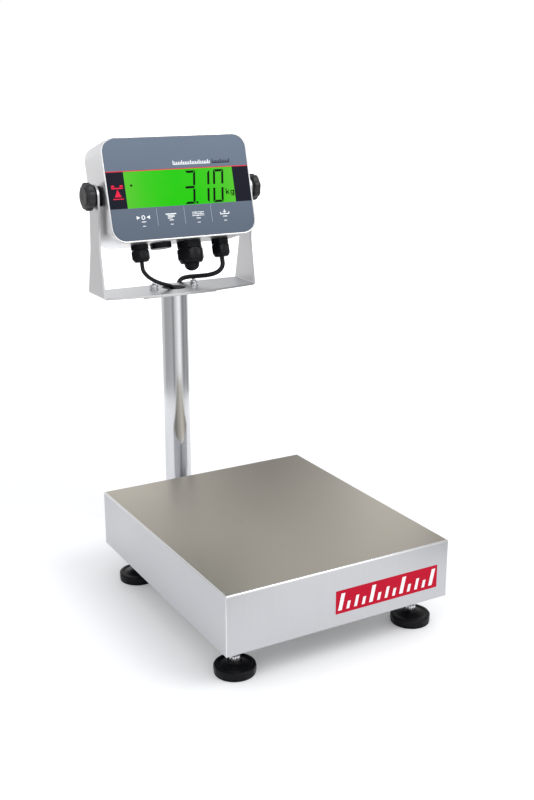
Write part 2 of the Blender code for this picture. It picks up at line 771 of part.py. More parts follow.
def add_bolt_holes(shape):
    """Adds the two bracket bolts' clearance holes to a cutter."""
    for side in (-1, 1):
        bore = turned([(BOLT_RADIUS + GAP, -PAST), (BOLT_RADIUS + GAP, PAST)], 12)
        bmesh.ops.translate(bore, vec=(side * BOLT_OFFSET, 0, 0), verts=bore.verts)
        append(shape, bore)


def add_bracket(finish):
    """The U bracket, folded from one sheet, and the two bolts that hold it on the column."""
    arm_height = PIVOT_HEIGHT + ARM_TOP_RADIUS - PLATE_BOTTOM
    half = BRACKET_WIDTH / 2
    outer = arc((half - BRACKET_BEND, BRACKET_BEND), BRACKET_BEND, -90, 0, 3)
    inner_bend = BRACKET_BEND - BRACKET_SHEET
    inner = arc((half - BRACKET_BEND, BRACKET_BEND), inner_bend, 0, -90, 3)
    right = outer + [(half, arm_height), (half - BRACKET_SHEET, arm_height)] + inner
    section = right + [(-x, z) for x, z in reversed(right)]
    place = (0, COLUMN_Y, PLATE_BOTTOM)
    reach = BRACKET_FRONT + BRACKET_BOW + PAST
    bracket = add_object(
        "u_bracket", extruded(section, -reach, reach, "Y"), finish.bracket, place
    )

    waist = BRACKET_SHEET + ARM_WAIST_HEIGHT
    pivot_z = PIVOT_HEIGHT - PLATE_BOTTOM
    side = [(-reach - PAST, -PAST), (BRACKET_BACK, -PAST), (BRACKET_BACK, BRACKET_SHEET)]
    side += [(ARM_WAIST_BACK, waist)]
    side += arc((-PIVOT_FORWARD, pivot_z), ARM_TOP_RADIUS, 0, 180, 12)
    side += [(-ARM_WAIST_FRONT, waist), (-BRACKET_FRONT, BRACKET_SHEET)]
    side += [(-reach - PAST, BRACKET_SHEET)]
    trim = add_cutter("bracket_side_outline", extruded(side, -half - PAST, half + PAST, "X"), place)
    apply_boolean(bracket, trim, "INTERSECT")

    plan = [(half + PAST, BRACKET_BACK + PAST), (-half - PAST, BRACKET_BACK + PAST)]
    plan += [(-half - PAST, -BRACKET_FRONT)]
    for i in range(13):
        x = half * (i / 6 - 1)
        bow = BRACKET_BOW * (1 - abs(x / half) ** BOW_SHAPE)
        plan.append((x, -BRACKET_FRONT - bow))
    plan += [(half + PAST, -BRACKET_FRONT)]
    trim = add_cutter("bracket_plan_outline", extruded(plan, -PAST, arm_height + PAST), place)
    apply_boolean(bracket, trim, "INTERSECT")

    holes = turned([(PLATE_HOLE, -PAST), (PLATE_HOLE, PAST)], ROUND)
    add_bolt_holes(holes)
    pivot_bore = turned([(PIVOT_BORE, -half - PAST), (PIVOT_BORE, half + PAST)], 12, axis="X")
    bmesh.ops.translate(pivot_bore, vec=(0, -PIVOT_FORWARD, pivot_z), verts=pivot_bore.verts)
    append(holes, pivot_bore)
    apply_boolean(bracket, add_cutter("bracket_holes", holes, place))

    nut_seat = BRACKET_TOP + GAP
    nut_bottom = nut_seat + WASHER_THICKNESS
    nut_top = nut_bottom + BOLT_NUT
    head_top = TOP_FLANGE_BOTTOM - GAP
    rings = [
        hex_ring(BOLT_FLATS, head_top - BOLT_HEAD, 12),
        hex_ring(BOLT_FLATS, head_top, 12),
        round_ring(BOLT_RADIUS, head_top, 12),
        round_ring(BOLT_RADIUS, nut_seat, 12),
        round_ring(WASHER_RADIUS, nut_seat, 12),
        round_ring(WASHER_RADIUS, nut_bottom, 12),
        hex_ring(BOLT_FLATS, nut_bottom, 12),
        hex_ring(BOLT_FLATS, nut_top, 12),
        round_ring(BOLT_RADIUS, nut_top, 12),
        round_ring(BOLT_RADIUS, nut_top + BOLT_STICK_OUT, 12),
    ]
    left = add_object(
        "bracket_bolt_left", loft(bmesh.new(), rings), finish.screw, (-BOLT_OFFSET, COLUMN_Y, 0)
    )
    add_copy("bracket_bolt_right", left, (BOLT_OFFSET, COLUMN_Y, 0))


def case_ring(y, inset):
    """The case's outline in the tilted frame, at one depth and drawn in by inset."""
    radius = max(CASE_CORNER - inset, 0.002)
    outline = rounded_rectangle(CASE_WIDTH - 2 * inset, CASE_HEIGHT - 2 * inset, radius)
    return [(x, y, z + FACE_RAISE) for x, z in outline]


def add_case(finish, tilt_frame):
    """The case with its rim, window, key and gland openings, and the gasket and cover behind it."""
    rim_front = FACE_Y - CASE_RIM_PROUD
    back = CASE_BACK
    inside = SHEET_Y + CASE_SHEET
    steps = [
        (SHEET_Y, CASE_RIM),
        (rim_front + 0.0003, CASE_RIM - 0.0002),
        (rim_front, CASE_RIM - 0.0008),
        (rim_front + 0.0004, 0.0005),
        (rim_front + 0.0015, 0),
        (back - CASE_BACK_ROUND, 0),
        (back - CASE_BACK_ROUND * 0.5, CASE_BACK_ROUND * 0.134),
        (back - CASE_BACK_ROUND * 0.134, CASE_BACK_ROUND * 0.5),
        (back, CASE_BACK_ROUND),
        (back, CASE_LIP),
        (back - CASE_SHEET, CASE_LIP),
        (back - CASE_SHEET, CASE_BACK_ROUND),
        (back - CASE_BACK_ROUND, CASE_SHEET),
        (inside, CASE_SHEET),
    ]
    case = add_object(
        "indicator_case",
        loft(bmesh.new(), [case_ring(y, inset) for y, inset in steps]),
        finish.case,
        parent=tilt_frame,
    )
    openings = lcd_block(GAP, -PAST / 2, PAST / 2)
    for x in key_places():
        middle = (x, SHEET_Y, FACE_RAISE + KEY_MIDDLE)
        centred_block(KEY_WIDTH + 2 * GAP, PAST, KEY_HEIGHT + 2 * GAP, middle, openings)
    for x, radius in (
        (LOAD_GLAND_X, gland_thread(LOAD_GLAND)),
        (POWER_GLAND_X, gland_thread(POWER_GLAND)),
        (DATA_GLAND_X, gland_thread(DATA_GLAND)),
        (CAP_X, CAP_THREAD),
    ):
        bore = turned([(radius + GAP, -PAST), (radius + GAP, PAST)], 20)
        bmesh.ops.translate(bore, vec=(x, GLAND_Y, CASE_BOTTOM), verts=bore.verts)
        append(openings, bore)
    for side in (-1, 1):
        bore = turned([(PIVOT_BORE, -PAST), (PIVOT_BORE, PAST)], 12, axis="X")
        bmesh.ops.translate(bore, vec=(side * CASE_WIDTH / 2, 0, 0), verts=bore.verts)
        append(openings, bore)
    apply_boolean(case, add_cutter("case_openings", openings, parent=tilt_frame))

    gasket_front = back + GAP
    gasket_back = gasket_front + COVER_GASKET
    gasket = [
        (gasket_front, COVER_INSET),
        (gasket_back, COVER_INSET),
        (gasket_back, CASE_LIP),
        (gasket_front, CASE_LIP),
    ]
    add_object(
        "cover_gasket",
        loft(bmesh.new(), [case_ring(y, inset) for y, inset in gasket], True),
        finish.rubber,
        parent=tilt_frame,
    )
    cover_front = gasket_back + GAP
    cover_back = cover_front + COVER_THICKNESS
    cover = [
        (cover_front, COVER_INSET),
        (cover_back - 0.001, COVER_INSET),
        (cover_back, COVER_INSET + 0.001),
    ]
    add_object(
        "rear_cover",
        loft(bmesh.new(), [case_ring(y, inset) for y, inset in cover]),
        finish.case,
        parent=tilt_frame,
    )


def key_places():
    """The middle of each key, from left to right."""
    return [(i - (len(KEY_NAMES) - 1) / 2) * KEY_PITCH for i in range(len(KEY_NAMES))]


def lcd_block(clearance, front, back):
    """A box round the display module, from front to back of the case's sheet."""
    width = WINDOW_WIDTH + 2 * (LCD_MARGIN + clearance)
    height = WINDOW_HEIGHT + 2 * (LCD_MARGIN + clearance)
    middle = (0, SHEET_Y + (front + back) / 2, FACE_RAISE + WINDOW_MIDDLE)
    return centred_block(width, back - front, height, middle)


def add_front(finish, tilt_frame):
    """The overlay with its window and keys, the display module and the main board."""
    outline = rounded_rectangle(
        CASE_WIDTH - 2 * (CASE_RIM + GAP),
        CASE_HEIGHT - 2 * (CASE_RIM + GAP),
        CASE_CORNER - CASE_RIM - GAP,
        middle=(0, FACE_RAISE),
    )
    overlay = add_object(
        "front_overlay",
        extruded(outline, FACE_Y, FACE_Y + OVERLAY_THICKNESS, "Y"),
        finish.overlay,
        parent=tilt_frame,
    )
    window_middle = (0, FACE_Y + OVERLAY_THICKNESS / 2, FACE_RAISE + WINDOW_MIDDLE)
    openings = centred_block(
        WINDOW_WIDTH + 2 * GAP, PAST, WINDOW_HEIGHT + 2 * GAP, window_middle
    )
    for x in key_places():
        middle = (x, FACE_Y, FACE_RAISE + KEY_MIDDLE)
        centred_block(KEY_WIDTH + 2 * GAP, PAST, KEY_HEIGHT + 2 * GAP, middle, openings)
    apply_boolean(overlay, add_cutter("overlay_openings", openings, parent=tilt_frame))
    add_object(
        "display_window",
        centred_block(WINDOW_WIDTH, OVERLAY_THICKNESS, WINDOW_HEIGHT),
        finish.window,
        window_middle,
        tilt_frame,
    )
    add_object(
        "display_module", lcd_block(0, 0, LCD_DEPTH), finish.display, parent=tilt_frame
    )
    board_middle = (0, FACE_Y + BOARD_DEPTH, FACE_RAISE)
    add_object(
        "main_board",
        centred_block(BOARD_WIDTH, BOARD_THICKNESS, BOARD_HEIGHT),
        finish.board,
        board_middle,
        tilt_frame,
    )
    key = None
    for name, x in zip(KEY_NAMES, key_places()):
        place = (x, FACE_Y, FACE_RAISE + KEY_MIDDLE)
        if key:
            add_copy(name, key, place, tilt_frame)
            continue
        corner = Vector((KEY_WIDTH / 2, 0, KEY_HEIGHT / 2))
        cap = block(-corner, corner + Vector((0, KEY_THICKNESS, 0)))
        key = add_object(name, cap, finish.overlay, place, tilt_frame)


def gland_thread(gland):
    """Radius of a gland's thread, which its collar and nut both cover."""
    return gland["collar"] * 0.66


def add_gland(name, x, gland, opening, finish, tilt_frame):
    """A gland's body, with its thread and hexagonal collar, and the clamping nut below it.

    Heights run down from the case's bottom face. Opening is the hole that the cable takes.
    """
    thread = gland_thread(gland)
    collar_top = GAP
    collar_end = collar_top + gland["collar_length"]
    neck_end = collar_end + GLAND_NECK + gland["nut_length"] * 0.62
    collar_flats = 2 * gland["collar"] * math.cos(math.pi / 6)
    rings = [
        round_ring(opening, -THREAD_ABOVE, 24),
        round_ring(thread, -THREAD_ABOVE, 24),
        round_ring(thread, collar_top, 24),
        hex_ring(collar_flats, collar_top, 24),
        hex_ring(collar_flats, collar_end, 24),
        round_ring(thread, collar_end, 24),
        round_ring(thread, neck_end, 24),
        round_ring(opening, neck_end, 24),
    ]
    body = loft(bmesh.new(), rings, True)
    bmesh.ops.transform(body, matrix=turn_axis("-Z"), verts=body.verts)
    place = (x, GLAND_Y, CASE_BOTTOM)
    add_object(name + "_body", body, finish.plastic, place, tilt_frame)
    nut_top = collar_end + GLAND_NECK
    nut_end = nut_top + gland["nut_length"]
    nut_flats = 2 * gland["nut"] * math.cos(math.pi / 6)
    shoulder = nut_top + gland["nut_length"] * 0.72
    inside = thread + GAP
    roof = neck_end + GAP
    rings = [
        round_ring(inside, nut_top, 24),
        hex_ring(nut_flats, nut_top, 24),
        hex_ring(nut_flats, shoulder, 24),
        round_ring(gland["nut"] * 0.80, nut_end - 0.001, 24),
        round_ring(gland["nut"] * 0.74, nut_end, 24),
        round_ring(opening, nut_end, 24),
        round_ring(opening, roof, 24),
        round_ring(inside, roof, 24),
    ]
    nut = loft(bmesh.new(), rings, True)
    bmesh.ops.transform(nut, matrix=turn_axis("-Z"), verts=nut.verts)
    add_object(name + "_nut", nut, finish.plastic, place, tilt_frame)
    return nut_end


def add_glands(finish, tilt_frame):
    """Three glands and the vent cap. Returns how far down the two cable glands reach."""
    load_end = add_gland(
        "load_gland", LOAD_GLAND_X, LOAD_GLAND, LOAD_CABLE_RADIUS + GAP, finish, tilt_frame
    )
    power_end = add_gland(
        "power_gland", POWER_GLAND_X, POWER_GLAND, POWER_CORD_RADIUS + GAP, finish, tilt_frame
    )
    bung = PLUG_RADIUS * 0.6
    data_end = add_gland("data_gland", DATA_GLAND_X, DATA_GLAND, bung + GAP, finish, tilt_frame)
    dome = [(bung, -THREAD_ABOVE), (bung, data_end + GAP)]
    dome += [(PLUG_RADIUS, data_end + GAP), (PLUG_RADIUS, data_end + GAP + PLUG_LENGTH * 0.35)]
    dome += [
        (PLUG_RADIUS * 0.85, data_end + GAP + PLUG_LENGTH * 0.7),
        (PLUG_RADIUS * 0.45, data_end + GAP + PLUG_LENGTH),
    ]
    add_object(
        "data_gland_plug",
        turned(dome, 20, axis="-Z"),
        finish.plastic,
        (DATA_GLAND_X, GLAND_Y, CASE_BOTTOM),
        tilt_frame,
    )
    cap = [
        (CAP_THREAD, -0.006),
        (CAP_THREAD, GAP),
        (CAP_RADIUS, GAP),
        (CAP_RADIUS, CAP_HEIGHT - 0.0012),
        (CAP_RADIUS - 0.0012, CAP_HEIGHT),
    ]
    add_object(
        "vent_cap",
        turned(cap, 24, axis="-Z"),
        finish.plastic,
        (CAP_X, GLAND_Y, CASE_BOTTOM),
        tilt_frame,
    )
    return load_end, power_end


def add_knobs(finish, tilt_frame):
    """On each side, a spacer between case and arm, and the clamp knob with its stud."""
    spacer_in = CASE_WIDTH / 2 + GAP
    spacer_out = ARM_INSIDE - GAP
    knob_in = BRACKET_WIDTH / 2 + GAP
    ring = [
        (PIVOT_BORE, spacer_in),
        (SPACER_RADIUS, spacer_in),
        (SPACER_RADIUS, spacer_out),
        (PIVOT_BORE, spacer_out),
    ]
    stud_end = CASE_WIDTH / 2 - KNOB_STUD_REACH
    sides = 6 * KNOB_LOBES
    rings = [
        round_ring(KNOB_STUD, stud_end, sides),
        round_ring(KNOB_STUD, knob_in, sides),
        round_ring(KNOB_RADIUS * 0.72, knob_in, sides),
        round_ring(KNOB_RADIUS * 0.76, knob_in + 0.0015, sides),
    ]
    for share, height in ((0.97, 0.0030), (1.0, 0.0045), (1.0, 0.0108), (0.93, 0.0125)):
        rings.append(
            lobed_ring(KNOB_RADIUS * share, knob_in + height, sides, KNOB_LOBES, KNOB_LOBE_DEPTH)
        )
    rings.append(round_ring(KNOB_RADIUS * 0.78, knob_in + KNOB_DEPTH - 0.0006, sides))
    rings.append(round_ring(KNOB_RADIUS * 0.72, knob_in + KNOB_DEPTH, sides))
    for side, axis in (("left", "-X"), ("right", "X")):
        add_object(
            "pivot_spacer_" + side,
            turned(ring, 24, closed=True, axis=axis),
            finish.plastic,
            parent=tilt_frame,
        )
        knob = loft(bmesh.new(), rings)
        bmesh.ops.transform(knob, matrix=turn_axis(axis), verts=knob.verts)
        add_object("clamp_knob_" + side, knob, finish.plastic, parent=tilt_frame)


def add_cords(finish, tilt_frame, load_end, power_end):
    """The load cell's cable, down the column, and the power cord, behind it to a coil and plug."""
    to_world = Matrix.Translation(PIVOT) @ Matrix.Rotation(-TILT, 4, "X")
    leave = to_world.to_3x3() @ Vector((0, 0, -1))
    load_exit = to_world @ Vector((LOAD_GLAND_X, GLAND_Y, CASE_BOTTOM - load_end - GAP))
    hole = Vector((0, COLUMN_Y, BRACKET_TOP))
    low = REAR_CROSS_BOTTOM - DUCT_DROP
    cell_y = PLATFORM_Y + CELL_LENGTH / 2 - CELL_ENTRY_INSET
    cell_z = FRAME_TOP + FOOT_SPACER_HEIGHT + CELL_HEIGHT / 2 + 2 * GAP
    add_cord(
        "load_cell_cable",
        [
            load_exit,
            load_exit + leave * CORD_LEAD,
            (-0.0530, 0.1720, 0.3942),
            (-0.0472, 0.1733, 0.3883),
            (-0.0397, 0.1750, 0.3832),
            (-0.0312, 0.1773, 0.3788),
            (-0.0226, 0.1810, 0.3752),
            (-0.0145, 0.1858, 0.3723),
            (-0.0070, 0.1898, 0.3692),
            (-0.0016, 0.1921, 0.3640),
            (0.0008, 0.1930, 0.3565),
            (0.0012, 0.1933, 0.3450),
            (0.0010, COLUMN_Y, 0.300),
            (-0.0010, COLUMN_Y, 0.200),
            (0, COLUMN_Y, 0.100),
            (0, COLUMN_Y, 0.052),
            (0, COLUMN_Y - 0.0025, low + 0.0085),
            (0, COLUMN_Y - 0.0130, low),
            (0.004, COLUMN_Y - 0.050, low),
            (0.016, COLUMN_Y - 0.110, low),
            (0.022, COLUMN_Y - 0.150, low),
            (0.036, COLUMN_Y - 0.180, low + 0.003),
            (0.046, COLUMN_Y - 0.202, low + 0.018),
            (0.048, COLUMN_Y - 0.208, low + 0.038),
            (0.043, COLUMN_Y - 0.211, cell_z - 0.004),
            (0.031, cell_y, cell_z),
            (CELL_WIDTH / 2 + GAP, cell_y, cell_z),
        ],
        LOAD_CABLE_RADIUS,
        finish.jacket,
    )
    power_exit = to_world @ Vector((POWER_GLAND_X, GLAND_Y, CASE_BOTTOM - power_end - GAP))
    coil_x, coil_y = COIL_MIDDLE
    outer_turn = COIL_MID_RADIUS + (COIL_TURNS_WIDE - 1) * POWER_CORD_RADIUS
    coil_outside = outer_turn + POWER_CORD_RADIUS
    clear = math.sqrt(coil_outside**2 - (outer_turn - POWER_CORD_RADIUS) ** 2) + 2 * GAP
    floor = POWER_CORD_RADIUS + GAP
    add_cord(
        "power_cord",
        [
            power_exit,
            power_exit + leave * CORD_LEAD,
            (0.0652, 0.1712, 0.3925),
            (0.0612, 0.1728, 0.3872),
            (0.0548, 0.1760, 0.3836),
            (0.0475, 0.1815, 0.3812),
            (0.0410, 0.1890, 0.3796),
            (0.0358, 0.1980, 0.3780),
            (0.0315, 0.2075, 0.3762),
            (0.0282, 0.2165, 0.3738),
            (0.0262, 0.2245, 0.3704),
            (0.0254, 0.2310, 0.3645),
            (0.0250, 0.2352, 0.3560),
            (0.0250, 0.2365, 0.3440),
            (0.0250, 0.2365, 0.2600),
            (0.0250, 0.2365, 0.1600),
            (0.0250, 0.2365, 0.1100),
            (0.0258, 0.2364, 0.0850),
            (0.0280, 0.2358, 0.0620),
            (0.0315, 0.2340, 0.0420),
            (0.0372, 0.2308, 0.0262),
            (0.0432, 0.2248, 0.0135),
            (0.0488, 0.2170, 0.0066),
            (0.0537, 0.2090, 0.0041),
            (0.0575, 0.2020, floor),
            (0.0598, 0.1967, floor),
            (coil_x - outer_turn, coil_y + clear + 0.003, floor),
            (coil_x - outer_turn, coil_y + clear, floor),
        ],
        POWER_CORD_RADIUS,
        finish.jacket,
    )
    inner_turn = COIL_MID_RADIUS - (COIL_TURNS_WIDE - 1) * POWER_CORD_RADIUS
    coil_inside = inner_turn - POWER_CORD_RADIUS
    top = 2 * POWER_CORD_RADIUS * COIL_TURNS_HIGH
    cut = POWER_CORD_RADIUS / 2
    ring = [
        (coil_outside, cut),
        (coil_outside, top - cut),
        (coil_outside - cut, top),
        (coil_inside + cut, top),
        (coil_inside, top - cut),
        (coil_inside, cut),
        (coil_inside + cut, 0),
        (coil_outside - cut, 0),
    ]
    add_object(
        "power_cord_coil", turned(ring, 32, closed=True), finish.jacket, (coil_x, coil_y, 0)
    )
    plug_x, plug_y = PLUG_FRONT
    length, across, height = PLUG_BODY
    relief_end = plug_x + length + PLUG_RELIEF
    plug_z = height / 2
    tail_x = coil_x + outer_turn
    upper = floor + 2 * POWER_CORD_RADIUS * (COIL_TURNS_HIGH - 1)
    tail = [(tail_x, coil_y + clear, upper), (tail_x, coil_y + clear + 0.006, upper)]
    for degrees in (0, 22.5, 45, 67.5, 90):
        angle = math.radians(degrees)
        x = tail_x - TAIL_BEND * (1 - math.cos(angle))
        y = plug_y - TAIL_BEND * (1 - math.sin(angle))
        rise = math.sin(angle) ** 2
        tail.append((x, y, upper + (plug_z - upper) * rise))
    tail.append((relief_end + GAP, plug_y, plug_z))
    add_cord(
        "power_cord_tail",
        tail,
        POWER_CORD_RADIUS,
        finish.jacket,
    )
    body = [
        (0, across * 0.50, height * 0.50),
        (length * 0.7, across * 0.50, height * 0.50),
        (length, across * 0.34, height * 0.38),
        (length + 0.001, 0.0062, 0.0062),
        (length + PLUG_RELIEF, POWER_CORD_RADIUS + 0.0008, POWER_CORD_RADIUS + 0.0008),
    ]
    rings = []
    for x, half_y, half_z in body:
        rings.append(
            [(x, half_y * math.cos(a), half_z * math.sin(a)) for a in (i * math.tau / 20 for i in range(20))]
        )
    plug = add_object(
        "power_plug", loft(bmesh.new(), rings), finish.plastic, (plug_x, plug_y, plug_z)
    )
    pins = bmesh.new()
    for side in (-1, 1):
        pin = turned([(PLUG_PIN, -PLUG_PIN_LENGTH), (PLUG_PIN, 0.004)], 10, axis="X")
        bmesh.ops.translate(pin, vec=(0, side * PLUG_PIN_PITCH / 2, 0), verts=pin.verts)
        append(pins, pin)
    apply_boolean(plug, add_cutter("plug_pins", pins, (plug_x, plug_y, plug_z)), "UNION")


def main():
    """Builds the whole scale."""
    clear_scene()
    finish = Finish()
    add_frame(finish)
    add_feet(finish)
    add_weighing_parts(finish)
    add_column(finish)
    add_bracket(finish)
    tilt_frame = add_pivot("indicator_tilt_axis", PIVOT, -TILT)
    add_case(finish, tilt_frame)
    add_front(finish, tilt_frame)
    load_end, power_end = add_glands(finish, tilt_frame)
    add_knobs(finish, tilt_frame)
    add_cords(finish, tilt_frame, load_end, power_end)


main()
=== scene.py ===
"""The looks of a stainless bench scale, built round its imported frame.

Everything is in metres in the frame's own axes: +X to the operator's right, +Y to the back, +Z up.
The indicator's pieces are built square in a frame of their own, on the tilt axis, and laid back.
"""

from __future__ import annotations

import json
import logging
import math
from collections.abc import Callable, Iterable, Sequence
from dataclasses import dataclass, field
from enum import Enum
from typing import ClassVar

import bmesh
import bpy
from mathutils import Matrix, Vector


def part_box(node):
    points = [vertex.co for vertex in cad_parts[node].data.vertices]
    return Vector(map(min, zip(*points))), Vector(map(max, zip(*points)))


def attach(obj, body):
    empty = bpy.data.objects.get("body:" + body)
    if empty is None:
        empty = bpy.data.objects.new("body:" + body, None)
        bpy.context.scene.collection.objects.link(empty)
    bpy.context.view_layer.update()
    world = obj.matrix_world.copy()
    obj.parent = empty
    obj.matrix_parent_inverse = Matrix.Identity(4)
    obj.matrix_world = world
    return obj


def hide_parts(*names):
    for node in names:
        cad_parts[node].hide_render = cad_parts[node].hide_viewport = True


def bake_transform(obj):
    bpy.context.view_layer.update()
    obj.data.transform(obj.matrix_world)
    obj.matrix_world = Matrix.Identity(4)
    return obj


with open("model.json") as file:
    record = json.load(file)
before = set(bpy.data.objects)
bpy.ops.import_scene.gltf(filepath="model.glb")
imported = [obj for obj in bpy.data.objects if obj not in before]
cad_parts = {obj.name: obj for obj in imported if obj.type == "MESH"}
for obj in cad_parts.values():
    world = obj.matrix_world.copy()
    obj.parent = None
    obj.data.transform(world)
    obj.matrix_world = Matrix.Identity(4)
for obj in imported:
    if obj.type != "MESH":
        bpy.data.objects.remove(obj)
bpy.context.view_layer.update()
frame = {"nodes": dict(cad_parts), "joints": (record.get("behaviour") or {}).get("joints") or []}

logging.basicConfig(level=logging.INFO, format="%(message)s")
LOG = logging.getLogger("bench_scale")

Point = tuple[float, float, float]
Flat = tuple[float, float]
Colour = tuple[float, float, float]
MM = 0.001
CORNERS = ("front_left", "front_right", "rear_left", "rear_right")


# ---------------------------------------------------------------- shader maths


class Signal:
    """A shader socket that takes Python's arithmetic, which adds Math nodes."""

    def __init__(self, graph: Graph, socket: bpy.types.NodeSocket) -> None:
        """Wraps one output socket of the graph."""
        self.graph = graph
        self.socket = socket

    def _math(self, operation: str, *values: Signal | float) -> Signal:
        """The result of one Math node."""
        return self.graph.node("ShaderNodeMath", {"operation": operation}, dict(enumerate(values)))

    def __add__(self, other: Signal | float) -> Signal:
        """self + other."""
        return self._math("ADD", self, other)

    def __radd__(self, other: float) -> Signal:
        """other + self."""
        return self._math("ADD", other, self)

    def __sub__(self, other: Signal | float) -> Signal:
        """self - other."""
        return self._math("SUBTRACT", self, other)

    def __rsub__(self, other: float) -> Signal:
        """other - self."""
        return self._math("SUBTRACT", other, self)

    def __pow__(self, other: Signal | float) -> Signal:
        """The signal to a power."""
        return self._math("POWER", self, other)

    def __truediv__(self, other: Signal | float) -> Signal:
        """The signal over another."""
        return self._math("DIVIDE", self, other)

    def __mul__(self, other: Signal | float) -> Signal:
        """self * other."""
        return self._math("MULTIPLY", self, other)

    def __rmul__(self, other: float) -> Signal:
        """other * self."""
        return self._math("MULTIPLY", other, self)

    def __abs__(self) -> Signal:
        """The size of self, without its sign."""
        return self._math("ABSOLUTE", self)

    def __gt__(self, other: Signal | float) -> Signal:
        """1 where self is over other, else 0."""
        return self._math("GREATER_THAN", self, other)

    def __lt__(self, other: Signal | float) -> Signal:
        """1 where self is under other, else 0."""
        return self._math("LESS_THAN", self, other)


class Graph:
    """The nodes of one material, or of the world."""

    def __init__(self, name: str) -> None:
        """Starts a material with a Principled shader."""
        self.material = bpy.data.materials.new(name)
        self.material.use_nodes = True
        self.tree = self.material.node_tree
        self.shader = self.tree.nodes["Principled BSDF"]

    @classmethod
    def of_tree(cls, tree: bpy.types.NodeTree, shader: str) -> Graph:
        """A graph over a node tree that exists, such as the world's."""
        graph = cls.__new__(cls)
        graph.tree = tree
        graph.shader = tree.nodes[shader]
        return graph

    def node(
        self,
        kind: str,
        settings: dict[str, object] | None = None,
        sockets: dict[str | int, object] | None = None,
        output: str | int = 0,
    ) -> Signal:
        """Adds one node.

        Args:
            kind: The node's type.
            settings: Its own properties, or a ramp's "stops" as (position, colour) pairs.
            sockets: Values or signals, by the socket's name or number.
            output: Which output the signal comes from.

        Returns:
            That output.
        """
        node = self.tree.nodes.new(kind)
        for key, value in (settings or {}).items():
            if key == "stops":
                ramp = node.color_ramp.elements
                while len(ramp) < len(value):
                    ramp.new(0.5)
                for element, (position, colour) in zip(ramp, value):
                    element.position = position
                    element.color = (*colour, 1.0)
            else:
                setattr(node, key, value)
        for key, value in (sockets or {}).items():
            self.feed(node.inputs[key], value)
        return Signal(self, node.outputs[output])

    def feed(self, socket: bpy.types.NodeSocket, value: object) -> None:
        """Links a signal to a socket, or sets the socket's own value."""
        if isinstance(value, Signal):
            self.tree.links.new(value.socket, socket)
        elif isinstance(value, tuple) and len(value) == 3 and len(socket.default_value) == 4:
            socket.default_value = (*value, 1.0)
        else:
            socket.default_value = value

    def set(self, **inputs: object) -> None:
        """Feeds the shader's inputs, named with underscores for spaces."""
        for key, value in inputs.items():
            self.feed(self.shader.inputs[key.replace("_", " ")], value)

    def place(self, kind: str = "Object") -> tuple[Signal, Signal, Signal]:
        """The point's x, y and z, in the piece's own frame unless another kind is named."""
        return self.split(self.node("ShaderNodeTexCoord", output=kind))

    def facing(self) -> tuple[Signal, Signal, Signal]:
        """The surface normal's x, y and z in the piece's own frame."""
        return self.split(self.node("ShaderNodeTexCoord", output="Normal"))

    def split(self, vector: Signal) -> tuple[Signal, Signal, Signal]:
        """A vector's three parts."""
        apart = self.node("ShaderNodeSeparateXYZ", None, {0: vector})
        outputs = apart.socket.node.outputs
        return Signal(self, outputs[0]), Signal(self, outputs[1]), Signal(self, outputs[2])

    def join(self, x: Signal | float, y: Signal | float, z: Signal | float) -> Signal:
        """A vector of three parts."""
        return self.node("ShaderNodeCombineXYZ", None, {0: x, 1: y, 2: z})

    def noise(self, vector: Signal, scale: float, detail: float = 2.0) -> Signal:
        """Smooth noise from 0 to 1, about 0.5."""
        inputs = {"Vector": vector, "Scale": scale, "Detail": detail, "Roughness": 0.55}
        return self.node("ShaderNodeTexNoise", {"noise_dimensions": "3D"}, inputs)

    def mix(self, share: Signal | float, low: Signal | Colour, high: Signal | Colour) -> Signal:
        """A colour between low and high."""
        inputs = {"Factor": share, 6: low, 7: high}
        return self.node("ShaderNodeMix", {"data_type": "RGBA"}, inputs, 2)

    def bump(self, height: Signal, distance: float, strength: float = 1.0) -> Signal:
        """A normal that follows a height."""
        inputs = {"Height": height, "Distance": distance, "Strength": strength}
        return self.node("ShaderNodeBump", None, inputs)

    def inside(self, value: Signal, low: float, high: float) -> Signal:
        """1 where value is between low and high, else 0."""
        return (value > low) * (value < high)


def shade(colour: Colour, times: float) -> Colour:
    """A colour made lighter or darker."""
    return tuple(min(1.0, part * times) for part in colour)


# -------------------------------------------------------------------- finishes


class Grain(Enum):
    """How a sheet's brushed lines run."""

    FOLDED_PAN = "front to back on the top and the sides, up and down on the front"
    UPRIGHT = "up and down"
    SIDEWAYS = "left to right"


@dataclass(frozen=True)
class Finish:
    """What a surface is made of and how it was worked."""

    name: str
    slot: str
    colour: Colour
    roughness: float
    made: ClassVar[dict[str, bpy.types.Material]] = {}

    def material(self) -> bpy.types.Material:
        """The finish's material, built once."""
        if self.name not in self.made:
            graph = Graph(self.name)
            self.dress(graph)
            self.made[self.name] = graph.material
        return self.made[self.name]

    def dress(self, graph: Graph) -> None:
        """Builds the finish's nodes."""
        raise NotImplementedError


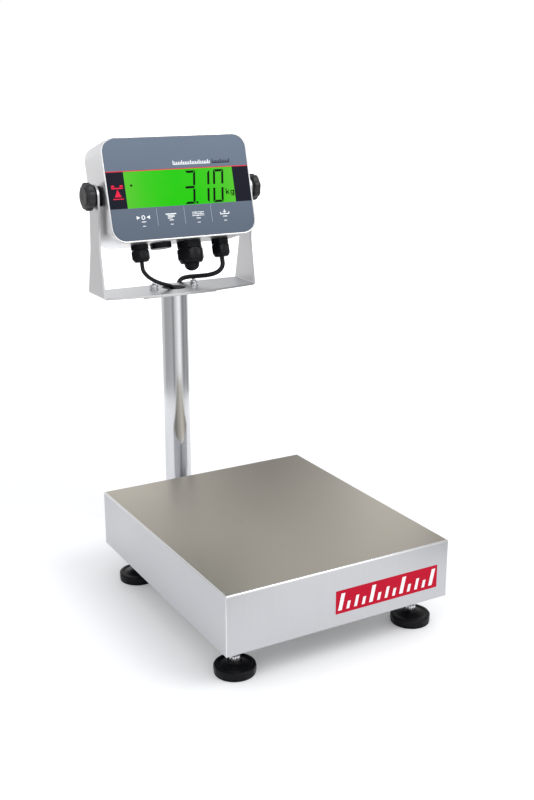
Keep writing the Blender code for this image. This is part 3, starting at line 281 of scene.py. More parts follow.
@dataclass(frozen=True)
class BrushedSteel(Finish):
    """Stainless sheet with fine brushed lines and faint marks from handling."""

    grain: Grain = Grain.FOLDED_PAN
    line_width: float = 0.9 * MM
    line_length: float = 0.11
    depth: float = 0.00002
    contrast: float = 0.10
    # On a pan, the colour of the top: a painted reflection, darker and warmer than the sides.
    top: Colour = (0.60, 0.60, 0.60)
    # On a pan, the colour of the bends: a painted highlight, brighter than the sheet.
    bend: Colour = (0.78, 0.78, 0.79)

    def dress(self, graph: Graph) -> None:
        """Long thin noise gives the lines and broad noise the marks; on a pan the top is painted darker and
        warmer, a painted reflection, and the bends are painted brighter, a painted highlight.
        """
        x, y, z = graph.place()
        if self.grain is Grain.FOLDED_PAN:
            side = abs(graph.facing()[0]) > 0.7
            across = x + side * (z - x)
            along = y + z - side * z
        elif self.grain is Grain.UPRIGHT:
            across, along = x + y, z
        else:
            across, along = y + z, x
        lines = graph.noise(
            graph.join(across * (1 / self.line_width), along * (1 / self.line_length), 0.0), 1.0, 3.0
        )
        marks = graph.noise(graph.join(x, y, z), 9.0, 3.0)
        low, high = shade(self.colour, 1 - self.contrast), shade(self.colour, 1 + self.contrast)
        colour = graph.mix(lines * 0.75 + marks * 0.25, low, high)
        bend_highlight_mask = 0.0
        if self.grain is Grain.FOLDED_PAN:
            nx, ny, nz = graph.facing()
            # Painted reflection: faces that point up are painted in the darker, warmer top colour.
            low, high = shade(self.top, 1 - self.contrast), shade(self.top, 1 + self.contrast)
            top = graph.mix(lines * 0.75 + marks * 0.25, low, high)
            colour = graph.mix(nz > 0.9, colour, top)
            # Painted highlight: the bends, where no face is square to an axis, are painted brighter, and are
            # also made smoother.
            bend_highlight_mask = (abs(nx) < 0.985) * (abs(ny) < 0.985) * (abs(nz) < 0.985)
            colour = graph.mix(bend_highlight_mask, colour, self.bend)
        graph.set(
            Base_Color=colour,
            Metallic=1.0,
            Roughness=self.roughness + 0.16 * (lines - 0.5) + 0.14 * (marks - 0.5) - 0.12 * bend_highlight_mask,
            Normal=graph.bump(lines, self.depth, 0.6),
        )


@dataclass(frozen=True)
class PolishedSteel(Finish):
    """Bright steel, drawn or turned, with faint lines along its axis or round it."""

    lines_round: bool = False

    def dress(self, graph: Graph) -> None:
        """Fine lines vary the roughness a little."""
        x, y, z = graph.place()
        if self.lines_round:
            vector = graph.join(x * 60.0, y * 60.0, z * 2600.0)
        else:
            vector = graph.join(x * 900.0, y * 900.0, z * 7.0)
        lines = graph.noise(vector, 1.0, 3.0)
        low, high = shade(self.colour, 0.94), shade(self.colour, 1.05)
        graph.set(
            Base_Color=graph.mix(lines, low, high),
            Metallic=1.0,
            Roughness=self.roughness + 0.12 * (lines - 0.4),
            Normal=graph.bump(lines, 0.00001, 0.35),
        )


@dataclass(frozen=True)
class Moulded(Finish):
    """Moulded nylon or rubber with a fine spark-eroded grain."""

    grain_size: float = 0.35 * MM
    depth: float = 0.00003
    gloss: float = 0.28

    def dress(self, graph: Graph) -> None:
        """Fine noise gives the grain, and broad noise the dust and wear."""
        x, y, z = graph.place()
        point = graph.join(x, y, z)
        grain = graph.noise(point, 1 / self.grain_size, 2.0)
        wear = graph.noise(point, 70.0, 4.0)
        low, high = shade(self.colour, 0.75), shade(self.colour, 1.35)
        graph.set(
            Base_Color=graph.mix(wear, low, high),
            Roughness=self.roughness + 0.20 * (wear - 0.5) + 0.08 * (grain - 0.5),
            Specular_IOR_Level=self.gloss,
            Normal=graph.bump(grain, self.depth, 0.5),
        )


@dataclass(frozen=True)
class Jacket(Finish):
    """A cable's extruded jacket, with faint draw lines and dust."""

    def dress(self, graph: Graph) -> None:
        """Noise gives the dust and a slight orange peel."""
        x, y, z = graph.place()
        point = graph.join(x, y, z)
        dust = graph.noise(point, 120.0, 4.0)
        peel = graph.noise(point, 900.0, 1.0)
        graph.set(
            Base_Color=graph.mix(dust, shade(self.colour, 0.7), shade(self.colour, 1.5)),
            Roughness=self.roughness + 0.18 * (dust - 0.5),
            Specular_IOR_Level=0.20,
            Normal=graph.bump(peel, 0.00003, 0.4),
        )


@dataclass(frozen=True)
class Ink(Finish):
    """Screen-printed ink, slightly uneven."""

    shine: float = 0.3

    def dress(self, graph: Graph) -> None:
        """Fine noise varies the ink's cover."""
        x, y, z = graph.place()
        cover = graph.noise(graph.join(x, y, z), 1600.0, 2.0)
        graph.set(
            Base_Color=graph.mix(cover, shade(self.colour, 0.93), shade(self.colour, 1.05)),
            Roughness=self.roughness + 0.1 * (cover - 0.5),
            Specular_IOR_Level=self.shine,
        )


@dataclass(frozen=True)
class PrintedOverlay(Finish):
    """Slate film with a dark band round the display, a red line over it and key dividers."""

    band: Colour = (0.0030, 0.0040, 0.0120)
    line: Colour = (0.58, 0.030, 0.055)
    divider: Colour = (0.30, 0.34, 0.40)
    middle: float = 2.0 * MM
    band_low: float = -24.9 * MM
    band_high: float = 23.6 * MM
    line_height: float = 1.25 * MM
    divider_at: tuple[float, ...] = (-40.6 * MM, 0.0, 40.6 * MM)
    divider_half: float = 0.32 * MM
    divider_low: float = -50.0 * MM
    divider_high: float = -27.0 * MM

    def dress(self, graph: Graph) -> None:
        """Masks on the film's own x and z lay out the print, and the film is painted darker towards its
        bottom, a painted reflection.
        """
        x, y, z = graph.place()
        v = z - self.middle
        texture = graph.noise(graph.join(x, y, z), 2600.0, 2.0)
        cloud = graph.noise(graph.join(x, y, z), 14.0, 2.0)
        colour = graph.mix(cloud, shade(self.colour, 0.96), shade(self.colour, 1.04))
        # Painted reflection: the film is painted darker towards its bottom.
        low = graph.mix(cloud, shade(self.colour, 0.70), shade(self.colour, 0.76))
        colour = graph.mix(v * 8.0 + 0.5, low, colour)
        rows = graph.inside(v, self.divider_low, self.divider_high)
        for place in self.divider_at:
            near = abs(x - place) < self.divider_half
            colour = graph.mix(near * rows, colour, self.divider)
        band = graph.inside(v, self.band_low, self.band_high)
        colour = graph.mix(band, colour, self.band)
        over = graph.inside(v, self.band_high, self.band_high + self.line_height)
        colour = graph.mix(over, colour, self.line)
        graph.set(
            Base_Color=colour,
            Roughness=self.roughness + 0.07 * (texture - 0.5) - 0.10 * band,
            Specular_IOR_Level=0.10,
            Normal=graph.bump(texture, 0.000012, 0.5),
        )


@dataclass(frozen=True)
class Backlight(Finish):
    """A lit liquid crystal display behind a clear hard-coated window."""

    ends: Colour = (0.130, 0.58, 0.040)
    half_width: float = 81.0 * MM
    strength: float = 1.0

    def dress(self, graph: Graph) -> None:
        """The light is evenest in the middle and paler towards the ends."""
        x, y, z = graph.place()
        side = abs(x) * (1 / self.half_width)
        cloud = graph.noise(graph.join(x, y, z), 26.0, 2.0)
        share = side * side * 0.75 + (cloud - 0.5) * 0.35
        cells = graph.noise(graph.join(x, y, z), 1500.0, 1.0)
        colour = graph.mix(share, self.colour, self.ends)
        graph.set(
            Base_Color=(0.002, 0.01, 0.001),
            Roughness=self.roughness + 0.04 * (cells - 0.5),
            Emission_Color=colour,
            Emission_Strength=self.strength,
            Specular_IOR_Level=0.06,
        )


@dataclass(frozen=True)
class Laminate(Finish):
    """A solder-masked circuit board with its copper showing through."""

    def dress(self, graph: Graph) -> None:
        """Stepped cells give the copper areas under the mask."""
        x, y, z = graph.place()
        vector = graph.join(x * 260.0, y * 260.0, z * 260.0)
        cells = graph.node(
            "ShaderNodeTexVoronoi", {"distance": "CHEBYCHEV"}, {"Vector": vector, "Scale": 1.0}
        )
        copper = cells > 0.42
        colour = graph.mix(copper, self.colour, shade(self.colour, 1.9))
        graph.set(
            Base_Color=colour,
            Roughness=self.roughness - 0.1 * copper,
            Normal=graph.bump(copper, 0.00003, 0.5),
        )


@dataclass(frozen=True)
class Liquid(Finish):
    """Tinted liquid under a clear dome."""

    def dress(self, graph: Graph) -> None:
        """Noise varies the tint."""
        x, y, z = graph.place()
        depth = graph.noise(graph.join(x, y, z), 90.0, 2.0)
        graph.set(
            Base_Color=graph.mix(depth, shade(self.colour, 0.85), shade(self.colour, 1.15)),
            Roughness=self.roughness,
            Transmission_Weight=0.35,
            Coat_Weight=1.0,
        )


@dataclass(frozen=True)
class Studio(Finish):
    """The pale floor, which glows with painted light."""

    # How brightly the floor glows near the scale and far from it: painted light.
    near: float = 0.13
    far: float = 0.60

    def dress(self, graph: Graph) -> None:
        """A plain surface that grows paler away from the scale, because it glows with painted light, faintly
        near the scale and more brightly away from it.
        """
        x, y, z = graph.place()
        cloud = graph.noise(graph.join(x, y, z), 3.0, 2.0)
        away = (x * x + y * y) * 0.9 - 0.2
        graph.set(
            Base_Color=graph.mix(cloud, shade(self.colour, 0.995), self.colour),
            Roughness=self.roughness,
            Specular_IOR_Level=0.1,
            # Painted light: the floor glows, faintly near the scale and brightly far from it.
            Emission_Color=graph.mix(away, (self.near,) * 3, (self.far,) * 3),
            Emission_Strength=1.0,
        )


@dataclass(frozen=True)
class Cards(Finish):
    """A ring of grey and white cards that stands round the set for the metal to mirror."""

    middle: Flat = (0.0, 0.1933)
    heading: float = 24.8
    strength: float = 1.35
    before: tuple = (
        (0.00, 0.36), (0.22, 0.40), (0.31, 0.36), (0.355, 0.20), (0.44, 0.36), (0.50, 0.52),
        (0.58, 0.62), (0.66, 0.75), (0.73, 0.92), (0.85, 0.90), (0.90, 0.58), (0.945, 0.30),
        (0.98, 0.22), (1.00, 0.32),
    )
    behind: tuple = (
        (0.00, 0.36), (0.02, 0.56), (0.25, 0.70), (0.33, 1.00), (0.42, 0.92), (0.48, 0.62), (0.55, 0.36),
        (0.62, 0.26), (0.72, 0.46), (0.81, 0.85), (0.86, 0.75), (0.90, 0.24), (1.00, 0.32),
    )

    def dress(self, graph: Graph) -> None:
        """The cards' greys run round the set, from the left to the right."""
        x, y, _ = graph.place()
        y = y - self.middle[1]
        turn = math.radians(self.heading)
        distance = (x * x + y * y) ** 0.5
        right = (x * math.cos(turn) - y * math.sin(turn)) / distance
        ahead = (x * math.sin(turn) + y * math.cos(turn)) / distance
        sides = [
            graph.node(
                "ShaderNodeValToRGB",
                {"stops": [(at, (grey,) * 3) for at, grey in stops]},
                {0: right * 0.5 + 0.5},
            )
            for stops in (self.before, self.behind)
        ]
        graph.set(
            Base_Color=self.colour,
            Roughness=self.roughness,
            Specular_IOR_Level=0.0,
            Emission_Color=graph.mix(ahead * 30.0 + 0.5, *sides),
            Emission_Strength=self.strength,
        )


# The pan's top colour is a painted reflection, darker and warmer than its sides.
PAN_STEEL = BrushedSteel(
    "pan_steel", "brushed_pan", (0.52, 0.525, 0.545), 0.33, top=(0.43, 0.395, 0.335), contrast=0.07
)
BRACKET_STEEL = BrushedSteel(
    "bracket_steel", "brushed_bracket", (0.60, 0.60, 0.61), 0.32, grain=Grain.SIDEWAYS
)
CASE_STEEL = BrushedSteel(
    "case_steel", "satin_case", (0.77, 0.77, 0.78), 0.30, grain=Grain.SIDEWAYS, contrast=0.05
)
FRAME_STEEL = BrushedSteel(
    "frame_steel", "frame_steel", (0.46, 0.47, 0.48), 0.42, grain=Grain.SIDEWAYS, contrast=0.14
)
CARRIER_STEEL = BrushedSteel(
    "carrier_steel", "frame_steel", (0.52, 0.52, 0.53), 0.38, grain=Grain.UPRIGHT
)
CELL_METAL = BrushedSteel(
    "cell_metal", "cell_aluminium", (0.74, 0.75, 0.77), 0.36, grain=Grain.SIDEWAYS, contrast=0.06
)
COLUMN_STEEL = PolishedSteel("column_steel", "polished_column", (0.66, 0.67, 0.69), 0.13)
SCREW_STEEL = PolishedSteel("screw_steel", "bright_screws", (0.66, 0.66, 0.68), 0.20, True)
NYLON = Moulded("black_nylon", "black_plastic", (0.0040, 0.0042, 0.0055), 0.30, gloss=0.15)
KNOB_NYLON = Moulded("knob_nylon", "black_plastic", (0.012, 0.012, 0.0135), 0.40, gloss=0.40)
FOOT_NYLON = Moulded("foot_nylon", "black_rubber", (0.0040, 0.0042, 0.0055), 0.36, gloss=0.13)
SOFT_RUBBER = Moulded("soft_rubber", "black_rubber", (0.010, 0.010, 0.011), 0.62, gloss=0.12)
PLUG_PLASTIC = Moulded("plug_plastic", "black_plastic", (0.009, 0.009, 0.010), 0.45, gloss=0.2)
CABLE_JACKET = Jacket("cable_jacket", "cable_jacket", (0.0075, 0.0075, 0.0090), 0.42)
OVERLAY = PrintedOverlay("overlay_print", "overlay_film", (0.128, 0.163, 0.215), 0.45)
BACKLIGHT = Backlight("backlight", "display_window", (0.017, 0.60, 0.0015), 0.22)
SEGMENT_INK = Ink("segment_ink", "display_window", (0.0012, 0.0060, 0.0008), 0.35, 0.05)
WHITE_INK = Ink("white_ink", "overlay_film", (0.80, 0.82, 0.85), 0.45)
DARK_INK = Ink("dark_ink", "overlay_film", (0.020, 0.024, 0.045), 0.45, 0.1)
RED_INK = Ink("red_ink", "overlay_film", (0.70, 0.012, 0.050), 0.40, 0.1)
LABEL_RED = Ink("label_red", "brushed_pan", (0.46, 0.0015, 0.022), 0.35, 0.10)
LABEL_WHITE = Ink("label_white", "brushed_pan", (0.82, 0.82, 0.84), 0.35, 0.4)
DISPLAY_GLASS = Laminate("display_glass", "display_module", (0.05, 0.30, 0.04), 0.25)
BOARD = Laminate("board_laminate", "circuit_board", (0.012, 0.13, 0.045), 0.42)
VIAL_LIQUID = Liquid("vial_liquid", "level_vial", (0.45, 0.70, 0.06), 0.05)
VIAL_INK = Ink("vial_ink", "level_vial", (0.01, 0.01, 0.01), 0.4)
VIAL_BUBBLE = Liquid("vial_bubble", "level_vial", (0.85, 0.95, 0.60), 0.03)
STUDIO_FLOOR = Studio("studio_floor", "", (0.93, 0.93, 0.935), 0.55)
STUDIO_CARDS = Cards("studio_cards", "", (0.0, 0.0, 0.0), 1.0)


# ---------------------------------------------------------------------- shapes


def circle(radius: float, height: float, sides: int) -> list[Point]:
    """A round ring of points about Z."""
    return ring(lambda angle: radius, height, sides)


def ring(radius: Callable[[float], float], height: float, sides: int) -> list[Point]:
    """A ring about Z whose radius follows its angle."""
    points = []
    for i in range(sides):
        angle = i * math.tau / sides
        reach = radius(angle)
        points.append((reach * math.cos(angle), reach * math.sin(angle), height))
    return points


def hexagon(flats: float, corner_limit: float, height: float, sides: int = 36) -> list[Point]:
    """A hexagonal ring whose corners are cut back to a circle.

    Args:
        flats: The width across the flats.
        corner_limit: The circle's radius.
        height: The ring's height.
        sides: How many points it has, a multiple of six.

    Returns:
        The points.
    """

    def reach(angle: float) -> float:
        """The hexagon's radius, or the circle's if that is less."""
        to_flat = (angle % (math.tau / 6)) - math.tau / 12
        return min(flats / 2 / math.cos(to_flat), corner_limit)

    return ring(reach, height, sides)


def rounded_rectangle(
    width: float, height: float, radius: float, steps: int = 8, middle: Flat = (0, 0)
) -> list[Flat]:
    """The outline of a rectangle with round corners."""
    points = []
    for quarter, (sx, sy) in enumerate(((1, 1), (-1, 1), (-1, -1), (1, -1))):
        cx = middle[0] + sx * (width / 2 - radius)
        cy = middle[1] + sy * (height / 2 - radius)
        for i in range(steps + 1):
            angle = (quarter + i / steps) * math.pi / 2
            points.append((cx + radius * math.cos(angle), cy + radius * math.sin(angle)))
    return points


def quarter_turn(radius: float, steps: int) -> list[Flat]:
    """(inset, rise) pairs round a quarter circle, from its outer side to its top."""
    pairs = []
    for i in range(steps + 1):
        angle = i / steps * math.pi / 2
        pairs.append((radius * (1 - math.cos(angle)), radius * math.sin(angle)))
    return pairs


class Shape:
    """A mesh in the making."""

    TURNS: ClassVar[dict[str, Matrix]] = {
        "X": Matrix.Rotation(math.pi / 2, 4, "Y"),
        "-X": Matrix.Rotation(-math.pi / 2, 4, "Y"),
        "Y": Matrix.Rotation(-math.pi / 2, 4, "X"),
        "Z": Matrix.Identity(4),
        "-Z": Matrix.Rotation(math.pi, 4, "X"),
    }

    def __init__(self) -> None:
        """Starts empty."""
        self.mesh = bmesh.new()

    def loft(
        self, rings: Sequence[Sequence[Point]], closed: bool = False, axis: str = "Z"
    ) -> Shape:
        """Joins rings of equal counts with quads.

        Args:
            rings: The rings, in order.
            closed: Whether the last ring joins the first. If not, both ends are capped.
            axis: The direction in which the rings' heights run.

        Returns:
            The shape itself.
        """
        turn = self.TURNS[axis]
        loops = [[self.mesh.verts.new(turn @ Vector(p)) for p in points] for points in rings]
        pairs = list(zip(loops, loops[1:]))
        if closed:
            pairs.append((loops[-1], loops[0]))
        faces = []
        for lower, upper in pairs:
            for i, corner in enumerate(lower):
                j = (i + 1) % len(lower)
                faces.append(self.mesh.faces.new((corner, lower[j], upper[j], upper[i])))
        if not closed:
            faces.append(self.mesh.faces.new(loops[0]))
            faces.append(self.mesh.faces.new(loops[-1]))
        bmesh.ops.recalc_face_normals(self.mesh, faces=faces)
        return self

    def lathe(
        self, profile: Sequence[Flat], sides: int = 64, axis: str = "Z", closed: bool = False
    ) -> Shape:
        """A solid of revolution from (radius, height) pairs."""
        return self.loft([circle(r, h, sides) for r, h in profile], closed, axis)

    def prism(self, outline: Sequence[Flat], start: float, end: float, axis: str = "Z") -> Shape:
        """An outline pulled along an axis: (x, y) along Z, (x, z) along Y, or (y, z) along X."""
        order = {
            "X": lambda a, b, c: (c, a, b),
            "Y": lambda a, b, c: (a, c, b),
            "Z": lambda a, b, c: (a, b, c),
        }[axis]
        return self.loft([[order(a, b, at) for a, b in outline] for at in (start, end)])

    def box(self, low: Sequence[float], high: Sequence[float]) -> Shape:
        """A box between two corners."""
        (x0, y0, z0), (x1, y1, z1) = low, high
        return self.prism([(x0, y0), (x1, y0), (x1, y1), (x0, y1)], z0, z1)

    def tube(self, path: Sequence[Vector], radius: float, sides: int = 16) -> Shape:
        """A round tube along a path, whose rings turn as little as they can."""
        rings = []
        ahead = (path[1] - path[0]).normalized()
        across = ahead.orthogonal().normalized()
        for i, point in enumerate(path):
            before, after = path[max(i - 1, 0)], path[min(i + 1, len(path) - 1)]
            along = (after - before).normalized()
            across = (across - along * across.dot(along)).normalized()
            up = along.cross(across)
            points = []
            for k in range(sides):
                angle = k * math.tau / sides
                out = across * math.cos(angle) + up * math.sin(angle)
                points.append(tuple(point + out * radius))
            rings.append(points)
        return self.loft(rings)

    def moved(self, matrix: Matrix) -> Shape:
        """The shape, moved."""
        bmesh.ops.transform(self.mesh, matrix=matrix, verts=self.mesh.verts)
        return self

    def shifted(self, at: Sequence[float]) -> Shape:
        """The shape, shifted."""
        return self.moved(Matrix.Translation(Vector(at)))

    def add(self, other: Shape, at: Sequence[float] = (0, 0, 0)) -> Shape:
        """Takes in another shape, shifted by at."""
        other.shifted(at)
        carrier = bpy.data.meshes.new("carrier")
        other.mesh.to_mesh(carrier)
        other.mesh.free()
        self.mesh.from_mesh(carrier)
        bpy.data.meshes.remove(carrier)
        return self

    def finished(self, name: str) -> bpy.types.Mesh:
        """The mesh, smooth but for its sharp edges."""
        mesh = bpy.data.meshes.new(name)
        self.mesh.to_mesh(mesh)
        self.mesh.free()
        mesh.shade_smooth()
        mesh.set_sharp_from_angle(angle=math.radians(31))
        return mesh

    def piece(self, name: str, finish: Finish) -> bpy.types.Object:
        """The shape as an object in the scene, in its finish."""
        piece = bpy.data.objects.new(name, self.finished(name))
        piece.data.materials.append(finish.material())
        bpy.context.scene.collection.objects.link(piece)
        return piece


def threaded_rod(
    radius: float, pitch: float, bottom: float, top: float, sides: int = 24, axis: str = "Z"
) -> Shape:
    """A rod with a right-hand thread, run out at both ends.

    Args:
        radius: The outer radius.
        pitch: The thread's pitch.
        bottom: Where the rod starts along its axis.
        top: Where it ends.
        sides: Points round the rod.
        axis: The direction in which it runs.

    Returns:
        The shape.
    """
    depth = 0.54 * pitch
    steps = max(2, round((top - bottom) / pitch * 5))
    rings = []
    for i in range(steps + 1):
        height = bottom + (top - bottom) * i / steps
        lead = min(1.0, (height - bottom) / pitch, (top - height) / pitch)

        def reach(angle: float, height: float = height, lead: float = lead) -> float:
            """The thread's radius at an angle, cut back at the rod's ends."""
            share = (height / pitch - angle / math.tau) % 1.0
            cut = abs(2 * share - 1)
            return radius - depth * max(cut, 0.9 * (1 - lead))

        rings.append(ring(reach, height, sides))
    return Shape().loft(rings, axis=axis)


def hex_nut(flats: float, bore: float, bottom: float, top: float) -> Shape:
    """A hexagonal nut with chamfered corners and a plain bore."""
    corner = flats / math.sqrt(3)
    chamfer = 0.07 * flats
    limit = flats / 2 * 1.01
    rings = [
        circle(bore, bottom, 36),
        hexagon(flats, limit, bottom),
        hexagon(flats, corner, bottom + chamfer),
        hexagon(flats, corner, top - chamfer),
        hexagon(flats, limit, top),
        circle(bore, top, 36),
    ]
    return Shape().loft(rings, closed=True)


def socket_screw(radius: float, height: float, socket: float, axis: str = "Z") -> Shape:
    """A round button head with a hexagonal socket, standing on zero."""
    rings = [
        circle(radius, 0, 36),
        circle(radius, height * 0.35, 36),
        circle(radius * 0.93, height * 0.68, 36),
        circle(radius * 0.76, height * 0.92, 36),
        circle(radius * 0.62, height, 36),
        hexagon(socket, socket, height),
        hexagon(socket, socket, height * 0.35),
    ]
    return Shape().loft(rings, axis=axis)


def smooth_path(points: Sequence[Sequence[float]], spacing: float) -> list[Vector]:
    """A route whose first and last runs are straight, with even points on a smooth curve between.

    Args:
        points: The route's own points.
        spacing: About how far apart the points of the result are.

    Returns:
        The path.
    """
    route = [Vector(point) for point in points]
    fine = []
    for before, start, end, after in zip(route, route[1:], route[2:], route[3:]):
        for i in range(24):
            t = i / 24
            fine.append(
                0.5
                * (
                    2 * start
                    + (end - before) * t
                    + (2 * before - 5 * start + 4 * end - after) * t**2
                    + (3 * start - before - 3 * end + after) * t**3
                )
            )
    fine.append(route[-2])
    lengths = [0.0]
    for start, end in zip(fine, fine[1:]):
        lengths.append(lengths[-1] + (end - start).length)
    count = max(2, round(lengths[-1] / spacing))
    even, at = [], 0
    for i in range(count + 1):
        wanted = lengths[-1] * i / count
        while at < len(fine) - 2 and lengths[at + 1] < wanted:
            at += 1
        share = (wanted - lengths[at]) / (lengths[at + 1] - lengths[at])
        even.append(fine[at].lerp(fine[at + 1], share))
    return [route[0], *even, route[-1]]


def path_length(path: Sequence[Vector]) -> float:
    """How long a path is."""
    return sum((end - start).length for start, end in zip(path, path[1:]))


# ------------------------------------------------------------------ assemblies


@dataclass
class Assembly:
    """A group of pieces that ride on one body."""

    body: str = "base"
    frame: Matrix = field(default_factory=lambda: Matrix.Identity(4))

    def place(
        self,
        name: str,
        shape: Shape,
        finish: Finish,
        nodes: Iterable[str] = (),
        body: str = "",
        bevel: float = 0.0,
    ) -> bpy.types.Object:
        """Makes a piece, dresses it and sets it on its body.

        Args:
            name: The piece's name.
            shape: Its shape, in this assembly's frame.
            finish: Its finish.
            nodes: The CAD nodes that it stands for.
            body: The body it rides on, if not the assembly's own.
            bevel: How much its sharp edges are rounded.

        Returns:
            The piece.
        """
        piece = shape.piece(name, finish)
        piece.matrix_world = self.frame
        if bevel:
            self.round_edges(piece, bevel)
        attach(piece, body or self.body)
        for node in nodes:
            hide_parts(node)
        LOG.info("%s: %d faces on %s", name, len(piece.data.polygons), body or self.body)
        return piece

    def round_edges(self, piece: bpy.types.Object, width: float, segments: int = 2) -> None:
        """Rounds the sharp edges of a piece."""
        modifier = piece.modifiers.new("edge_round", "BEVEL")
        modifier.width = width
        modifier.segments = segments
        modifier.limit_method = "ANGLE"
        modifier.angle_limit = math.radians(40)
        modifier.harden_normals = True

    def cut(self, shape: Shape, *cutters: Shape) -> Shape:
        """Takes the cutters' shapes out of a shape."""
        target = bpy.data.objects.new("cut_target", shape.finished("cut_target"))
        bpy.context.scene.collection.objects.link(target)
        tools = []
        for cutter in cutters:
            tool = bpy.data.objects.new("cut_tool", cutter.finished("cut_tool"))
            bpy.context.scene.collection.objects.link(tool)
            modifier = target.modifiers.new("cut", "BOOLEAN")
            modifier.object = tool
            modifier.operation = "DIFFERENCE"
            modifier.solver = "EXACT"
            tools.append(tool)
        bpy.context.view_layer.update()
        evaluated = target.evaluated_get(bpy.context.evaluated_depsgraph_get())
        result = Shape()
        result.mesh.from_mesh(evaluated.to_mesh())
        evaluated.to_mesh_clear()
        for obj in (target, *tools):
            bpy.data.objects.remove(obj)
        bmesh.ops.dissolve_degenerate(result.mesh, dist=1e-6, edges=result.mesh.edges)
        return result

    def dress_node(self, node: str, finish: Finish, bevel: float = 0.0) -> None:
        """Gives a CAD node its finish, and rounds its edges."""
        obj = frame["nodes"][node]
        for material_slot in obj.material_slots:
            material_slot.material = finish.material()
        if bevel:
            self.round_edges(obj, bevel)
        LOG.info("%s: dressed in %s", node, finish.name)


@dataclass
class StudioSet:
    """The camera, the floor and the lights."""

    camera_at: Point = (-0.6514, -1.2171, 0.6702)
    camera_pitch: float = 73.08
    camera_heading: float = 29.65
    lens: float = 49.89
    floor_half: float = 9.0
    sky: float = 1.0
    key_energy: float = 28.0
    sky_shades: tuple = (
        (0.00, (0.95, 0.95, 0.96)),
        (0.45, (0.86, 0.87, 0.89)),
        (0.75, (0.66, 0.67, 0.69)),
        (1.00, (0.90, 0.91, 0.93)),
    )
    card_radius: float = 0.72
    card_height: float = 0.52

    def build(self) -> None:
        """Sets the stage."""
        self.add_camera()
        self.add_floor()
        self.add_cards()
        self.add_world()
        self.add_lights()
        scene = bpy.context.scene
        scene.view_settings.view_transform = "Standard"
        scene.view_settings.look = "None"

    def add_camera(self) -> None:
        """A 50 mm lens a metre and a half away, looking slightly down."""
        data = bpy.data.cameras.new("camera")
        data.lens = self.lens
        data.sensor_width = 36.0
        data.clip_start = 0.05
        camera = bpy.data.objects.new("camera", data)
        camera.location = self.camera_at
        turn = (math.radians(self.camera_pitch), 0.0, -math.radians(self.camera_heading))
        camera.rotation_euler = turn
        bpy.context.scene.collection.objects.link(camera)
        bpy.context.scene.camera = camera

    def add_floor(self) -> None:
        """A wide plain floor."""
        half = self.floor_half
        shape = Shape().box((-half, -half, -0.01), (half, half, 0.0))
        shape.piece("studio_floor", STUDIO_FLOOR)

    def add_world(self) -> None:
        """White behind the scale, with a ceiling of soft greys over it."""
        world = bpy.data.worlds.new("studio_world")
        world.use_nodes = True
        bpy.context.scene.world = world
        graph = Graph.of_tree(world.node_tree, "Background")
        height = graph.place("Generated")[2]
        sky = graph.node("ShaderNodeValToRGB", {"stops": self.sky_shades}, {0: height})
        seen = graph.node("ShaderNodeLightPath")
        graph.set(Color=graph.mix(seen, sky, (1.0, 1.0, 1.0)), Strength=self.sky)

    def add_cards(self) -> None:
        """The cards: only mirrored light meets them, so they shade nothing and are never seen."""
        x, y = STUDIO_CARDS.middle
        near, far = self.card_radius, self.card_radius + 0.01
        profile = [(near, 0.0), (far, 0.0), (far, self.card_height), (near, self.card_height)]
        shape = Shape().lathe(profile, 96, closed=True).shifted((x, y, 0.0))
        cards = shape.piece("studio_cards", STUDIO_CARDS)
        for ray in ("camera", "diffuse", "transmission", "volume_scatter", "shadow"):
            setattr(cards, "visible_" + ray, False)

    def add_lights(self) -> None:
        """A large softbox high on the right, and a smaller one on the left."""
        self.add_softbox("key_light", (1.1, -1.5, 2.2), 1.5, self.key_energy)
        self.add_softbox("fill_light", (-1.8, -1.0, 1.8), 1.2, self.key_energy * 0.25)

    def add_softbox(self, name: str, at: Point, size: float, energy: float) -> None:
        """An area light that faces the scale."""
        data = bpy.data.lights.new(name, "AREA")
        data.shape = "SQUARE"
        data.size = size
        data.energy = energy
        light = bpy.data.objects.new(name, data)
        light.location = at
        aim = Vector((0, 0, 0.15)) - Vector(at)
        light.rotation_euler = aim.to_track_quat("-Z", "Y").to_euler()
        bpy.context.scene.collection.objects.link(light)


def tilt_joint() -> dict:
    """The record of the indicator's tilt joint."""
    return next(joint for joint in frame["joints"] if joint["name"] == "indicator_tilt")


def tilt_frame() -> Matrix:
    """The indicator's own frame: on its tilt axis, with +Y square into its face."""
    press = next(joint for joint in frame["joints"] if joint["name"] == "key_zero_press")
    _, into, down = press["axis"]
    angle = math.atan2(-down, into)
    return Matrix.Translation(Vector(tilt_joint()["pos_m"])) @ Matrix.Rotation(-angle, 4, "X")


